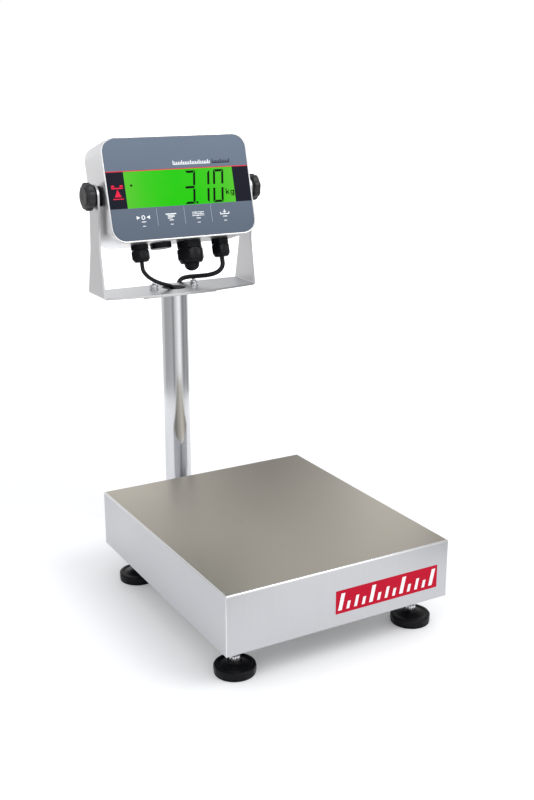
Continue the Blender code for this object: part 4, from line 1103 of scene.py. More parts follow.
@dataclass
class Cords(Assembly):
    """The load cell's cable and the power cord, with its coil, tie and plug."""

    load_radius: float = 2.75 * MM
    power_radius: float = 3.25 * MM
    gap: float = 0.3 * MM
    lead: float = 0.010
    gland_line: float = 0.0105
    case_bottom: float = -0.0681
    load_x: float = -0.056
    load_reach: float = 0.0230
    power_x: float = 0.0668
    power_reach: float = 0.0254
    column_y: float = 0.1933
    plate_top: float = 0.3665
    duct: float = 0.0265
    cell_y: float = -0.0177
    cell_z: float = 0.0831
    cell_side: float = 0.0153
    coil_middle: Flat = (0.103, 0.165)
    coil_radius: float = 0.0358
    coil_turns: float = 5.5
    plug_front: Flat = (0.066, 0.233)
    plug_size: Point = (0.030, 0.034, 0.026)
    relief_length: float = 0.018
    tail_bend: float = 0.027
    pin_radius: float = 2.4 * MM
    pin_length: float = 0.015
    pin_pitch: float = 0.019

    def build(self) -> None:
        """Makes both cables and the plug."""
        self.add_load_cable()
        plug = self.add_plug()
        self.add_power_cord(plug)

    def gland_mouth(self, x: float, reach: float) -> tuple[Vector, Vector]:
        """Where a cable leaves its gland nut, and in which direction."""
        tilted = tilt_frame()
        mouth = tilted @ Vector((x, self.gland_line, self.case_bottom - reach - self.gap))
        return mouth, tilted.to_3x3() @ Vector((0, 0, -1))

    def add_load_cable(self) -> None:
        """From the left gland down the column, through the carrier and up to the load cell."""
        start, leave = self.gland_mouth(self.load_x, self.load_reach)
        back, low = self.column_y, self.duct
        route = [
            start,
            start + leave * self.lead,
            (-0.0530, 0.1720, 0.3942),
            (-0.0472, 0.1733, 0.3883),
            (-0.0397, 0.1750, 0.3832),
            (-0.0312, 0.1773, 0.3788),
            (-0.0226, 0.1810, 0.3752),
            (-0.0145, 0.1858, 0.3723),
            (-0.0070, 0.1898, 0.3692),
            (-0.0016, 0.1921, 0.3640),
            (0.0008, 0.1930, 0.3565),
            (0.0012, 0.1933, 0.3450),
            (0.0010, back, 0.300),
            (-0.0010, back, 0.200),
            (0, back, 0.100),
            (0, back, 0.052),
            (0, back - 0.0025, low + 0.0085),
            (0, back - 0.0130, low),
            (0.004, back - 0.050, low),
            (0.016, back - 0.110, low),
            (0.022, back - 0.150, low),
            (0.036, back - 0.180, low + 0.003),
            (0.046, back - 0.202, low + 0.018),
            (0.048, back - 0.208, low + 0.038),
            (0.043, back - 0.211, self.cell_z - 0.004),
            (0.031, self.cell_y, self.cell_z),
            (self.cell_side, self.cell_y, self.cell_z),
        ]
        path = smooth_path(route, self.load_radius * 1.4)
        piece = self.make_cable("load_cable_jacket", path, self.load_radius)
        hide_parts("load_cell_cable")
        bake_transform(piece)

    def make_cable(self, name: str, path: list[Vector], radius: float) -> bpy.types.Object:
        """A cable's jacket along its path, on no body yet."""
        piece = Shape().tube(path, radius).piece(name, CABLE_JACKET)
        LOG.info("%s: %.3f m long", name, path_length(path))
        return piece

    def coil_path(self) -> list[Vector]:
        """The turns of the coil: inwards along the floor, then outwards on top of those."""
        pitch = 2 * self.power_radius + 0.1 * MM
        outer = self.coil_radius + pitch
        total = self.coil_turns * math.tau
        inward = 2.5 * math.tau
        count = int(self.coil_turns * 36)
        path = []
        for i in range(count + 1):
            turned = total * i / count
            inwards = min(turned, inward) / inward
            outwards = max(0.0, turned - inward - 0.5 * math.tau) / (total - inward - 0.5 * math.tau)
            climb = min(1.0, max(0.0, (turned - inward) / (0.5 * math.tau)))
            radius = outer - 2 * pitch * inwards + 2 * pitch * outwards
            ease = climb * climb * (3 - 2 * climb)
            height = self.power_radius + self.gap + ease * 2 * self.power_radius
            angle = math.pi + turned
            x = self.coil_middle[0] + radius * math.cos(angle)
            y = self.coil_middle[1] + radius * math.sin(angle)
            path.append(Vector((x, y, height)))
        return path

    def add_power_cord(self, plug: list[bpy.types.Object]) -> None:
        """From the right gland down behind the column to the coil, and on to the plug."""
        start, leave = self.gland_mouth(self.power_x, self.power_reach)
        coil = self.coil_path()
        floor = self.power_radius + self.gap
        first, last = coil[0], coil[-1]
        over_edge = (0.0262, 0.2245, 0.3704)
        down = [
            start,
            start + leave * self.lead,
            (0.0652, 0.1712, 0.3925),
            (0.0612, 0.1728, 0.3872),
            (0.0548, 0.1760, 0.3836),
            (0.0475, 0.1815, 0.3812),
            (0.0410, 0.1890, 0.3796),
            (0.0358, 0.1980, 0.3780),
            (0.0315, 0.2075, 0.3762),
            (0.0282, 0.2165, 0.3738),
            over_edge,
            (0.0254, 0.2310, 0.3645),
            (0.0250, 0.2352, 0.3560),
            (0.0250, 0.2365, 0.3440),
            (0.0250, 0.2365, 0.2600),
            (0.0250, 0.2365, 0.1600),
            (0.0250, 0.2365, 0.1100),
            (0.0258, 0.2364, 0.0850),
            (0.0280, 0.2358, 0.0620),
            (0.0315, 0.2340, 0.0420),
            (0.0372, 0.2308, 0.0262),
            (0.0432, 0.2248, 0.0135),
            (0.0488, 0.2170, 0.0066),
            (0.0537, 0.2090, 0.0041),
            (0.0575, 0.2020, floor),
            (0.0598, 0.1967, floor),
            (first.x, first.y + 0.0270, floor),
            (first.x, first.y + 0.0240, floor),
            tuple(first),
        ]
        plug_x, plug_y = self.plug_front
        plug_z = self.plug_size[2] / 2
        relief_end = plug_x + self.plug_size[0] + self.relief_length
        bend = self.tail_bend
        tail = [tuple(last), (last.x, last.y + 0.0240, last.z), (last.x, last.y + 0.0300, last.z)]
        for degrees in (0, 22.5, 45, 67.5, 90):
            angle = math.radians(degrees)
            x = last.x - bend * (1 - math.cos(angle))
            rise = (plug_z - last.z) * math.sin(angle) ** 2
            tail.append((x, plug_y - bend * (1 - math.sin(angle)), last.z + rise))
        tail.append((relief_end + self.gap, plug_y, plug_z))
        step = self.power_radius * 1.4
        path = smooth_path(down, step)[:-1] + coil + smooth_path(tail, step)[1:]
        piece = self.make_cable("power_cord_jacket", path, self.power_radius)
        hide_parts("power_cord", "power_cord_coil", "power_cord_tail")
        round(path_length(path), 3)
        self.add_tie()
        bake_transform(piece)

    def add_tie(self) -> bpy.types.Object:
        """A strap round the coil's turns on its far side."""
        pitch = 2 * self.power_radius
        width, height = 3 * pitch + 1.0 * MM, 2 * pitch + 0.9 * MM
        section = rounded_rectangle(width, height, 2.2 * MM, 6)
        inner = rounded_rectangle(width - 0.8 * MM, height - 0.8 * MM, 1.8 * MM, 6)
        half = 5.0 * MM
        x = self.coil_middle[0] + self.coil_radius
        rings = []
        for outline, y in ((section, -half), (section, half), (inner, half), (inner, -half)):
            middle = pitch + 0.2 * MM
            rings.append([(x + a, self.coil_middle[1] + y, middle + b) for a, b in outline])
        return self.place("coil_tie", Shape().loft(rings, closed=True), SOFT_RUBBER)

    def add_plug(self) -> list[bpy.types.Object]:
        """A moulded two-pin plug with a ribbed strain relief."""
        length, across, height = self.plug_size
        stations = [(0.0, 0.46, 0.44), (0.0012, 0.50, 0.485), (0.006, 0.50, 0.50)]
        stations += [(length * 0.62, 0.49, 0.48), (length * 0.82, 0.41, 0.42)]
        stations += [(length * 0.94, 0.31, 0.36), (length, 0.22, 0.27)]
        rings = []
        for x, wide, tall in stations:
            rings.append(self.plug_ring(x, across * wide, height * tall))
        ribs = 7
        for i in range(ribs):
            for share, swell in ((0.1, 1.0), (0.5, 1.0), (0.55, 0.80), (0.95, 0.80)):
                x = length + (i + share) / ribs * self.relief_length
                taper = 1 - (i + share) / ribs
                reach = self.power_radius + 0.6 * MM + 2.0 * MM * taper
                reach = max(self.power_radius + 0.2 * MM, reach * swell)
                rings.append(self.plug_ring(x, reach, reach))
        body = Shape().loft(rings)
        at = (*self.plug_front, height / 2)
        body.shifted(at)
        pieces = [self.place("plug_body", body, PLUG_PLASTIC, ["power_plug"])]
        pins = Shape()
        for side in (-1, 1):
            end = -self.pin_length
            radius = self.pin_radius
            profile = [(radius, 0.002), (radius, end + 0.0012), (radius * 0.6, end)]
            pin = Shape().lathe(profile, 24, "X")
            pins.add(pin, (at[0], at[1] + side * self.pin_pitch / 2, at[2]))
        pieces.append(self.place("plug_pins", pins, SCREW_STEEL))
        return pieces

    def plug_ring(self, x: float, half_y: float, half_z: float) -> list[Point]:
        """A softly squared oval across the plug."""
        points = []
        for i in range(40):
            angle = i * math.tau / 40
            c, s = math.cos(angle), math.sin(angle)
            y = math.copysign(abs(c) ** 0.8, c) * half_y
            points.append((x, y, math.copysign(abs(s) ** 0.8, s) * half_z))
        return points


@dataclass
class Pan(Assembly):
    """The folded load pan and the printed label on its front."""

    body: str = "pan"
    sheet: float = 1.5 * MM
    bend: float = 2.2 * MM
    corner: float = 0.8 * MM
    inner_corner: float = 0.3 * MM
    label_low: Flat = (-0.0095, 0.0575)
    label_high: Flat = (0.1370, 0.0870)
    label_skin: float = 0.12 * MM

    def build(self) -> None:
        """Makes the pan and its label."""
        low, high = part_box("load_pan")
        middle = (low + high) / 2
        width, depth = high.x - low.x, high.y - low.y
        fold = high.z - self.bend

        def outline(inset: float, radius: float, z: float) -> list[Point]:
            """The sheet's outline at one height."""
            size = (width - 2 * inset, depth - 2 * inset)
            return [(x, y, z) for x, y in rounded_rectangle(*size, radius, 3, middle.xy)]

        outside = [outline(0.0, self.corner, low.z)]
        for inset, rise in quarter_turn(self.bend, 6):
            outside.append(outline(inset, self.corner, fold + rise))
        inside = [outline(self.sheet, self.inner_corner, low.z)]
        for inset, rise in quarter_turn(self.bend - self.sheet, 3):
            inside.append(outline(self.sheet + inset, self.inner_corner, fold + rise))
        shape = Shape().loft(outside[::-1] + inside)
        self.place("load_pan_sheet", shape, PAN_STEEL, ["load_pan"])
        self.add_label(low.y)

    def add_label(self, front: float) -> None:
        """A red panel with a row of slanting scale marks in white."""
        (x0, z0), (x1, z1) = self.label_low, self.label_high
        outline = rounded_rectangle(x1 - x0, z1 - z0, 0.6 * MM, 3, ((x0 + x1) / 2, (z0 + z1) / 2))
        panel = Shape().prism(outline, front - self.label_skin, front, "Y")
        self.place("front_label", panel, LABEL_RED)
        marks = Shape()
        count, lean = 13, 0.0045
        step = (x1 - x0 - 0.016) / (count - 1)
        for i in range(count):
            tall = 0.021 if i % 4 == 0 else 0.014 if i % 2 == 0 else 0.0095
            thick = 0.0052 if i % 4 == 0 else 0.0040
            left = x0 + 0.0058 + i * step - thick / 2
            low = z0 + 0.0042
            slant = lean * tall / 0.021
            bar = [(left, low), (left + thick, low)]
            bar += [(left + thick + slant, low + tall), (left + slant, low + tall)]
            marks.prism(bar, front - 2 * self.label_skin, front - self.label_skin, "Y")
        self.place("front_label_marks", marks, LABEL_WHITE)


@dataclass
class BaseFrame(Assembly):
    """The welded frame under the pan, the load cell on it and the spider over that."""

    def build(self) -> None:
        """Dresses the frame's sections and adds their fasteners."""
        for node in ("base_rail_left", "base_rail_right", "base_cross_front", "base_cross_rear"):
            self.dress_node(node, FRAME_STEEL, 0.8 * MM)
        self.dress_node("load_cell_beam", FRAME_STEEL, 0.6 * MM)
        self.dress_node("load_spider", FRAME_STEEL, 0.5 * MM)
        self.dress_node("load_cell", CELL_METAL, 0.4 * MM)
        self.dress_node("load_cell_foot", SCREW_STEEL, 0.3 * MM)
        self.dress_node("load_cell_head", SCREW_STEEL, 0.3 * MM)
        self.add_cell_bolts()
        self.add_end_caps()

    def add_cell_bolts(self) -> None:
        """Two bolts up through the beam into the load cell's fixed end, and their washers."""
        low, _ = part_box("load_cell_beam")
        foot_low, foot_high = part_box("load_cell_foot")
        bolts = Shape()
        for share in (0.25, 0.75):
            y = foot_low.y + (foot_high.y - foot_low.y) * share
            washer = Shape().lathe([(0.0085, 0.0), (0.0085, 0.0014)], 40, "-Z")
            bolts.add(washer, (0, y, low.z))
            head = hex_nut(0.013, 0.0006, 0.0, 0.0053)
            head.moved(Matrix.Rotation(math.pi, 4, "X"))
            bolts.add(head, (0, y, low.z - 0.0014))
        self.place("cell_bolts", bolts, SCREW_STEEL)

    def add_end_caps(self) -> None:
        """A plastic plug in each open end of the two rails."""
        caps = Shape()
        for node in ("base_rail_left", "base_rail_right"):
            low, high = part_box(node)
            middle = (low + high) / 2
            width, height = high.x - low.x, high.z - low.z
            for y, out in ((low.y, -1), (high.y, 1)):
                face = rounded_rectangle(width - 0.6 * MM, height - 0.6 * MM, 1.5 * MM, 4)
                plug = rounded_rectangle(width - 4.4 * MM, height - 4.4 * MM, 1.0 * MM, 4)
                for outline, start, end in ((face, 0.0002, 0.0022), (plug, -0.012, 0.0004)):
                    points = [(middle.x + a, middle.z + b) for a, b in outline]
                    caps.prism(points, y + out * start, y + out * end, "Y")
        self.place("rail_end_caps", caps, NYLON, bevel=0.3 * MM)


@dataclass
class Feet(Assembly):
    """Four levelling feet: a swivelling pad, a threaded stud and a lock nut each."""

    pad_radius: float = 0.025
    pad_side: float = 0.011
    hub_radius: float = 0.0095
    hub_top: float = 0.0147
    hex_flats: float = 0.012
    hex_height: float = 0.007
    stud_radius: float = 0.005
    pitch: float = 1.5 * MM
    seat: float = 0.008
    facets: int = 12

    def build(self) -> None:
        """Makes each foot where the CAD has it."""
        for corner in CORNERS:
            low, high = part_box("foot_pad_" + corner)
            middle = (low + high) / 2
            at = Vector((middle.x, middle.y, 0))
            self.add_pad(corner, at)
            self.add_stud(corner, at)
            self.add_nut(corner, at)

    def add_pad(self, corner: str, at: Vector) -> None:
        """A dished pad with gripping flats round its edge and a hub for the stud."""
        side, hub, bore = self.pad_side, self.hub_radius, self.stud_radius + 0.3 * MM
        sides = 8 * self.facets

        def grip(radius: float, depth: float) -> Callable[[float], float]:
            """A round edge flattened into facets."""
            span = math.tau / self.facets

            def reach(angle: float) -> float:
                """The facet's radius at an angle."""
                off = (angle % span) / span - 0.5
                return radius * (1 - depth * (1 - 4 * off * off))

            return reach

        edge = self.pad_radius
        stations = [
            (edge - 0.0022, 0.0, 0.0),
            (edge - 0.0008, 0.0004, 0.0),
            (edge - 0.0005, 0.0020, 0.0),
            (edge - 0.0011, 0.0025, 0.0),
            (edge - 0.0002, 0.0031, 0.012),
            (edge, 0.0038, 0.018),
            (edge, side - 0.0018, 0.018),
            (edge - 0.0003, side - 0.0008, 0.012),
            (edge - 0.0012, side, 0.004),
            (edge - 0.0044, side + 0.0002, 0.0),
            (edge - 0.0050, side - 0.0004, 0.0),
            (edge - 0.0056, side - 0.0006, 0.0),
            (0.0160, side - 0.0001, 0.0),
            (0.0130, side + 0.0012, 0.0),
            (hub + 0.0008, side + 0.0021, 0.0),
            (hub, side + 0.0026, 0.0),
            (hub - 0.0002, self.hub_top - 0.0005, 0.0),
            (hub - 0.0008, self.hub_top, 0.0),
            (bore + 0.0005, self.hub_top, 0.0),
            (bore, self.hub_top - 0.0005, 0.0),
            (bore, self.seat, 0.0),
        ]
        rings = [ring(grip(r, depth), z, sides) for r, z, depth in stations]
        shape = Shape().loft(rings).shifted(at)
        node = "foot_pad_" + corner
        self.place("foot_disc_" + corner, shape, FOOT_NYLON, [node], node)

    def add_stud(self, corner: str, at: Vector) -> None:
        """The stud: its thread, with a hexagon just above the hub."""
        node = "foot_stud_" + corner
        low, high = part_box(node)
        start = self.hub_top + 0.3 * MM
        end = start + self.hex_height
        shape = threaded_rod(self.stud_radius, self.pitch, low.z, high.z)
        shape.add(hex_nut(self.hex_flats, self.stud_radius - 0.9 * MM, start, end))
        shape.shifted(at)
        self.place("foot_thread_" + corner, shape, SCREW_STEEL, [node], node)

    def add_nut(self, corner: str, at: Vector) -> None:
        """The lock nut under the rail."""
        node = "lock_nut_" + corner
        low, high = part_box(node)
        bore = self.stud_radius + 0.3 * MM
        nut = hex_nut(high.y - low.y, bore, low.z, high.z)
        self.place("lock_hex_" + corner, nut.shifted(at), SCREW_STEEL, [node])


@dataclass
class Column(Assembly):
    """The column, its flanges and welds, the carrier under it and the level on that."""

    wall: float = 1.5 * MM
    bead: float = 1.6 * MM
    bolt_at: Flat = (0.028, 0.022)

    def build(self) -> None:
        """Makes the column and what holds it."""
        self.dress_node("column_carrier", CARRIER_STEEL, 0.7 * MM)
        self.dress_node("column_foot_flange", BRACKET_STEEL)
        self.dress_node("column_top_flange", BRACKET_STEEL, 0.4 * MM)
        low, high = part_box("column_tube")
        at = Vector(((low.x + high.x) / 2, (low.y + high.y) / 2, 0))
        radius = (high.x - low.x) / 2
        inside = radius - self.wall
        wall = [(inside, low.z), (inside, high.z), (radius, high.z), (radius, low.z)]
        tube = Shape().lathe(wall, 96, closed=True).shifted(at)
        self.place("column_wall", tube, COLUMN_STEEL, ["column_tube"])
        self.add_welds(radius, low.z, high.z, at)
        self.add_flange_bolts(at)
        self.add_level()

    def add_welds(self, radius: float, low: float, high: float, at: Vector) -> None:
        """A rippled fillet weld round each end of the column."""
        for name, z, up in (("weld_low", low - 0.3 * MM, 1), ("weld_high", high + 0.3 * MM, -1)):
            rings = []
            ripples = 46
            for i in range(6):
                angle = i / 5 * math.pi / 2
                out = radius + 0.05 * MM + self.bead * (1 - math.sin(angle))
                rise = self.bead * (1 - math.cos(angle))
                dent = 0.10 * MM * math.sin(2 * angle)

                def reach(turn: float, out: float = out, dent: float = dent) -> float:
                    """The bead's radius, with its ripples."""
                    return out + dent * math.sin(ripples * turn)

                rings.append(ring(reach, z + up * rise, 184))
            rings.append(circle(radius + 0.05 * MM, z, 184))
            shape = Shape().loft(rings, closed=True).shifted(at)
            self.place(name, shape, BRACKET_STEEL)

    def add_flange_bolts(self, at: Vector) -> None:
        """Four bolts through the foot flange into the carrier."""
        _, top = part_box("column_foot_flange")
        bolts = Shape()
        for sx in (-1, 1):
            for sy in (-1, 1):
                place = (at.x + sx * self.bolt_at[0], at.y + sy * self.bolt_at[1], top.z)
                washer = [(0.0058, 0.0), (0.0058, 0.0009), (0.0054, 0.0012)]
                bolts.add(Shape().lathe(washer, 36), place)
                head = socket_screw(0.0048, 0.0042, 0.0042)
                bolts.add(head, (place[0], place[1], place[2] + 0.0012))
        self.place("flange_bolts", bolts, SCREW_STEEL)

    def add_level(self) -> None:
        """A round level: its cup, the liquid, the sight ring and the bubble."""
        low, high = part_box("level_cup")
        at = Vector(((low.x + high.x) / 2, (low.y + high.y) / 2, low.z))
        radius, tall = (high.x - low.x) / 2, high.z - low.z
        seat = 0.0091
        cup = [(radius, 0), (radius, tall - 0.0012), (radius - 0.0005, tall - 0.0003)]
        cup += [(radius - 0.0012, tall), (seat + 0.0006, tall), (seat, tall - 0.0006)]
        cup += [(seat, 0.002)]
        shape = Shape().lathe(cup).shifted(at)
        self.place("level_housing", shape, NYLON, ["level_cup"])
        vial = [(0.0088, 0.0023), (0.0088, tall - 0.0010)]
        for i in range(1, 7):
            angle = i / 6 * math.radians(80)
            vial.append((0.0088 * math.cos(angle), tall - 0.0010 + 0.0013 * math.sin(angle)))
        shape = Shape().lathe(vial).shifted(at)
        self.place("level_liquid", shape, VIAL_LIQUID, ["level_vial"])
        sight = [(0.0037, 0), (0.0041, 0), (0.0041, 0.00008), (0.0037, 0.00008)]
        shape = Shape().lathe(sight, 48, closed=True)
        self.place(
            "level_sight_ring",
            shape.shifted(at + Vector((0, 0, tall + 0.00022))),
            VIAL_INK,
        )
        bubble = [(0.0028, 0), (0.0025, 0.00012), (0.0015, 0.0002)]
        shape = Shape().lathe(bubble, 40)
        self.place(
            "level_bubble",
            shape.shifted(at + Vector((0.0006, 0.0004, tall + 0.0002))),
            VIAL_BUBBLE,
        )


@dataclass
class Bracket(Assembly):
    """The U bracket, folded from one sheet, and its two bolts."""

    sheet: float = 3.0 * MM
    bend: float = 4.5 * MM
    front: float = 0.0275
    bow: float = 0.017
    back: float = 0.0295
    waist_height: float = 0.062
    waist_front: float = 0.0165
    waist_back: float = 0.0155
    top_radius: float = 0.0158
    hole: float = 0.017
    bolt_at: float = 0.031
    bolt_radius: float = 0.003
    bolt_flats: float = 0.010
    head_height: float = 0.0042
    nut_height: float = 0.0052
    washer: Flat = (0.0066, 0.0012)

    def build(self) -> None:
        """Makes the bracket and its fasteners."""
        low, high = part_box("u_bracket")
        pivot = Vector(tilt_joint()["pos_m"])
        tube_low, tube_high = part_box("column_tube")
        middle = (tube_low.y + tube_high.y) / 2
        half = (high.x - low.x) / 2
        forward = middle - pivot.y
        rings = []
        for along, rise, turn in self.stations(half, pivot.z - low.z):
            front, back = self.edges(along, half, rise, forward, pivot.z - low.z)
            out = (math.sin(turn) * math.copysign(1, along), -math.cos(turn))
            x, z = along, low.z + rise
            inner = (x - out[0] * self.sheet, z - out[1] * self.sheet)
            rings.append(
                [
                    (x, middle - front, z),
                    (x, middle + back, z),
                    (inner[0], middle + back, inner[1]),
                    (inner[0], middle - front, inner[1]),
                ]
            )
        shape = Shape().loft(rings)
        bore = Shape().lathe([(self.hole, -0.01), (self.hole, 0.01)], 96)
        bore.shifted((0, middle, low.z))
        shape = self.cut(shape, bore)
        self.place("bracket_sheet", shape, BRACKET_STEEL, ["u_bracket"], bevel=0.45 * MM)
        self.add_bolts(middle, low.z)

    def stations(self, half: float, pivot: float) -> list[Point]:
        """Points on the outside of the fold, from the left arm's top to the right arm's.

        Args:
            half: Half the bracket's outer width.
            pivot: The pivot's height above its underside.

        Returns:
            For each point its x, its height and how far the sheet has turned up.
        """
        right = []
        for i in range(13):
            right.append(((half - self.bend) * i / 12, 0.0, 0.0))
        for i in range(1, 9):
            turn = i / 8 * math.pi / 2
            x = half - self.bend + self.bend * math.sin(turn)
            right.append((x, self.bend * (1 - math.cos(turn)), turn))
        upright = math.pi / 2
        waist = self.sheet + self.waist_height
        for share in (0.25, 0.5, 0.75, 1.0):
            right.append((half, self.bend + (waist - self.bend) * share, upright))
        for share in (0.4, 0.8, 1.0):
            right.append((half, waist + (pivot - waist) * share, upright))
        for i in range(1, 13):
            angle = i / 12 * math.radians(86)
            right.append((half, pivot + self.top_radius * math.sin(angle), upright))
        left = [(-x, rise, turn) for x, rise, turn in reversed(right[1:])]
        return left + right

    def edges(
        self, along: float, half: float, rise: float, forward: float, pivot: float
    ) -> Flat:
        """How far the sheet reaches in front of the column's axis and behind it."""
        waist = self.sheet + self.waist_height
        if rise <= self.sheet:
            bow = self.bow * max(0.0, 1 - abs(along / half) ** 1.3)
            return self.front + bow, self.back
        if rise <= waist:
            share = (rise - self.sheet) / (waist - self.sheet)
            front = self.front + (self.waist_front - self.front) * share
            return front, self.back + (self.waist_back - self.back) * share
        if rise <= pivot:
            share = (rise - waist) / (pivot - waist)
            front = self.waist_front + (forward + self.top_radius - self.waist_front) * share
            return front, self.waist_back + (self.top_radius - forward - self.waist_back) * share
        reach = math.sqrt(max(0.0, self.top_radius**2 - (rise - pivot) ** 2))
        return forward + reach, reach - forward

    def add_bolts(self, middle: float, plate: float) -> None:
        """Bolt heads under the flange, and washers and nuts on the plate."""
        for side, name in ((-1, "left"), (1, "right")):
            low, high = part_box("bracket_bolt_" + name)
            wide, thick = self.washer
            seat = plate + self.sheet + 0.05 * MM
            stack = Shape().lathe([(wide, seat), (wide, seat + thick)], 44)
            seat += thick
            bore = self.bolt_radius - 0.1 * MM
            nut = hex_nut(self.bolt_flats, bore, seat, seat + self.nut_height)
            nut.moved(Matrix.Rotation(math.radians(11 * side), 4, "Z"))
            stack.add(nut)
            stack.add(threaded_rod(self.bolt_radius, 1.0 * MM, low.z + 0.004, high.z))
            stack.add(hex_nut(self.bolt_flats, 0.6 * MM, low.z, low.z + self.head_height))
            stack.shifted((side * self.bolt_at, middle, 0))
            node = "bracket_bolt_" + name
            self.place("plate_bolt_" + name, stack, SCREW_STEEL, [node])


@dataclass
class Indicator(Assembly):
    """The indicator's case, cover, overlay, display and keys, in its own tilted frame."""

    body: str = "indicator"
    frame: Matrix = field(default_factory=tilt_frame)
    face: float = -0.0275
    raise_face: float = 0.002
    width: float = 0.2166
    height: float = 0.1402
    depth: float = 0.0690
    corner: float = 0.0205
    sheet: float = 1.5 * MM
    rim: float = 2.2 * MM
    film: float = 0.8 * MM
    gap: float = 0.3 * MM
    back_round: float = 0.007
    lip: float = 0.016
    window: Flat = (0.162, 0.0486)
    window_middle: float = -0.0007
    key: Flat = (0.034, 0.019)
    key_row: float = -0.0385
    key_pitch: float = 0.0406
    key_names: tuple[str, ...] = ("key_zero", "key_print", "key_function", "key_tare")
    cover_inset: float = 0.0085
    cover_sheet: float = 2.5 * MM
    cover_edge: float = 0.9 * MM
    gasket: float = 1.2 * MM
    digit_width: float = 0.0159
    digit_height: float = 0.0451
    digit_pitch: float = 0.0216
    stroke: float = 3.2 * MM
    middle_gap: float = 5.0 * MM
    lean: float = 7.4
    print_skin: float = 0.06 * MM

    def build(self) -> None:
        """Makes the indicator from the back to the front."""
        self.add_case()
        self.add_cover()
        self.add_overlay()
        self.add_keys()
        self.add_display()
        self.add_prints()
        self.dress_node("display_module", DISPLAY_GLASS)
        self.dress_node("main_board", BOARD)

    def outline(self, y: float, inset: float) -> list[Point]:
        """The case's outline at one depth, drawn in by inset."""
        radius = max(self.corner - inset, 2 * MM)
        flat = rounded_rectangle(self.width - 2 * inset, self.height - 2 * inset, radius, 12)
        return [(x, y, z + self.raise_face) for x, z in flat]

    def slab(self, size: Flat, middle: Flat, start: float, end: float, radius: float) -> Shape:
        """A flat slab with round corners, between two depths."""
        at = (middle[0], middle[1] + self.raise_face)
        return Shape().prism(rounded_rectangle(*size, radius, 5, at), start, end, "Y")

    def key_places(self) -> list[float]:
        """The x of each key, from left to right."""
        count = len(self.key_names)
        return [(i - (count - 1) / 2) * self.key_pitch for i in range(count)]

    def add_case(self) -> None:
        """The drawn case, with the openings for the display module and the keys."""
        seat = self.face + self.film + self.gap
        back = self.face + self.depth
        front = self.face - 0.4 * MM
        steps = [(seat, self.rim), (front + 0.35 * MM, self.rim - 0.1 * MM)]
        steps += [(front + 0.1 * MM, self.rim - 0.4 * MM), (front, self.rim - 0.8 * MM)]
        round_front = 1.3 * MM
        for inset, rise in reversed(quarter_turn(round_front, 5)):
            steps.append((front + round_front - rise, inset))
        for inset, rise in quarter_turn(self.back_round, 8):
            steps.append((back - self.back_round + rise, inset))
        steps += [(back, self.lip), (back - self.sheet, self.lip)]
        steps += [(back - self.sheet, self.back_round)]
        steps += [(back - self.back_round, self.sheet), (seat + self.sheet, self.sheet)]
        case = Shape().loft([self.outline(y, inset) for y, inset in steps])
        grow = 3.0 * MM
        size = (self.window[0] + grow, self.window[1] + grow)
        openings = [self.slab(size, (0, self.window_middle), seat - 0.003, seat + 0.003, 1 * MM)]
        for x in self.key_places():
            size = (self.key[0] + 2 * self.gap, self.key[1] + 2 * self.gap)
            openings.append(self.slab(size, (x, self.key_row), seat - 0.003, seat + 0.003, 1 * MM))
        shape = self.cut(case, *openings)
        self.place("indicator_shell", shape, CASE_STEEL, ["indicator_case"])

    def add_cover(self) -> None:
        """The rear cover on its gasket, held by eight screws."""
        back = self.face + self.depth
        seat = back + self.gap
        cover = seat + self.gasket + self.gap
        rings = [
            self.outline(seat, self.cover_inset),
            self.outline(seat + self.gasket, self.cover_inset),
            self.outline(seat + self.gasket, self.lip),
            self.outline(seat, self.lip),
        ]
        seal = Shape().loft(rings, closed=True)
        self.place("cover_seal", seal, SOFT_RUBBER, ["cover_gasket"])
        thick = self.cover_sheet
        edge = cover + thick - self.cover_edge
        rings = [self.outline(cover, self.cover_inset)]
        for inset, rise in quarter_turn(self.cover_edge, 4):
            rings.append(self.outline(edge + rise, self.cover_inset + inset))
        self.place("back_plate", Shape().loft(rings), CASE_STEEL, ["rear_cover"])
        screws = Shape()
        reach_x = self.width / 2 - self.cover_inset - 0.0065
        reach_z = self.height / 2 - self.cover_inset - 0.0065
        inset = 0.0035
        places = [(sx * (reach_x - inset), sz * (reach_z - inset)) for sx in (-1, 1) for sz in (-1, 1)]
        places += [(0, -reach_z), (0, reach_z), (-reach_x, 0), (reach_x, 0)]
        for x, z in places:
            screw = socket_screw(0.0036, 0.0021, 0.0032, "Y")
            screws.add(screw, (x, cover + thick - 0.05 * MM, z + self.raise_face))
        self.place("cover_screws", screws, SCREW_STEEL)

    def add_overlay(self) -> None:
        """The printed film, with its window and key openings."""
        inset = self.rim + self.gap
        film = Shape().loft(
            [
                self.outline(self.face + self.film, inset),
                self.outline(self.face + 0.1 * MM, inset),
                self.outline(self.face, inset + 0.1 * MM),
            ]
        )
        grow = 0.05 * MM
        size = (self.window[0] + grow, self.window[1] + grow)
        middle = (0, self.window_middle)
        openings = [self.slab(size, middle, self.face - 0.002, self.face + 0.002, 0.8 * MM)]
        for x in self.key_places():
            size = (self.key[0] + 2 * grow, self.key[1] + 2 * grow)
            place = (x, self.key_row)
            openings.append(self.slab(size, place, self.face - 0.002, self.face + 0.002, 1.6 * MM))
        self.place("overlay_film", self.cut(film, *openings), OVERLAY, ["front_overlay"])
        window = self.slab(self.window, middle, self.face, self.face + self.film, 0.7 * MM)
        self.place("lit_window", window, BACKLIGHT, ["display_window"])

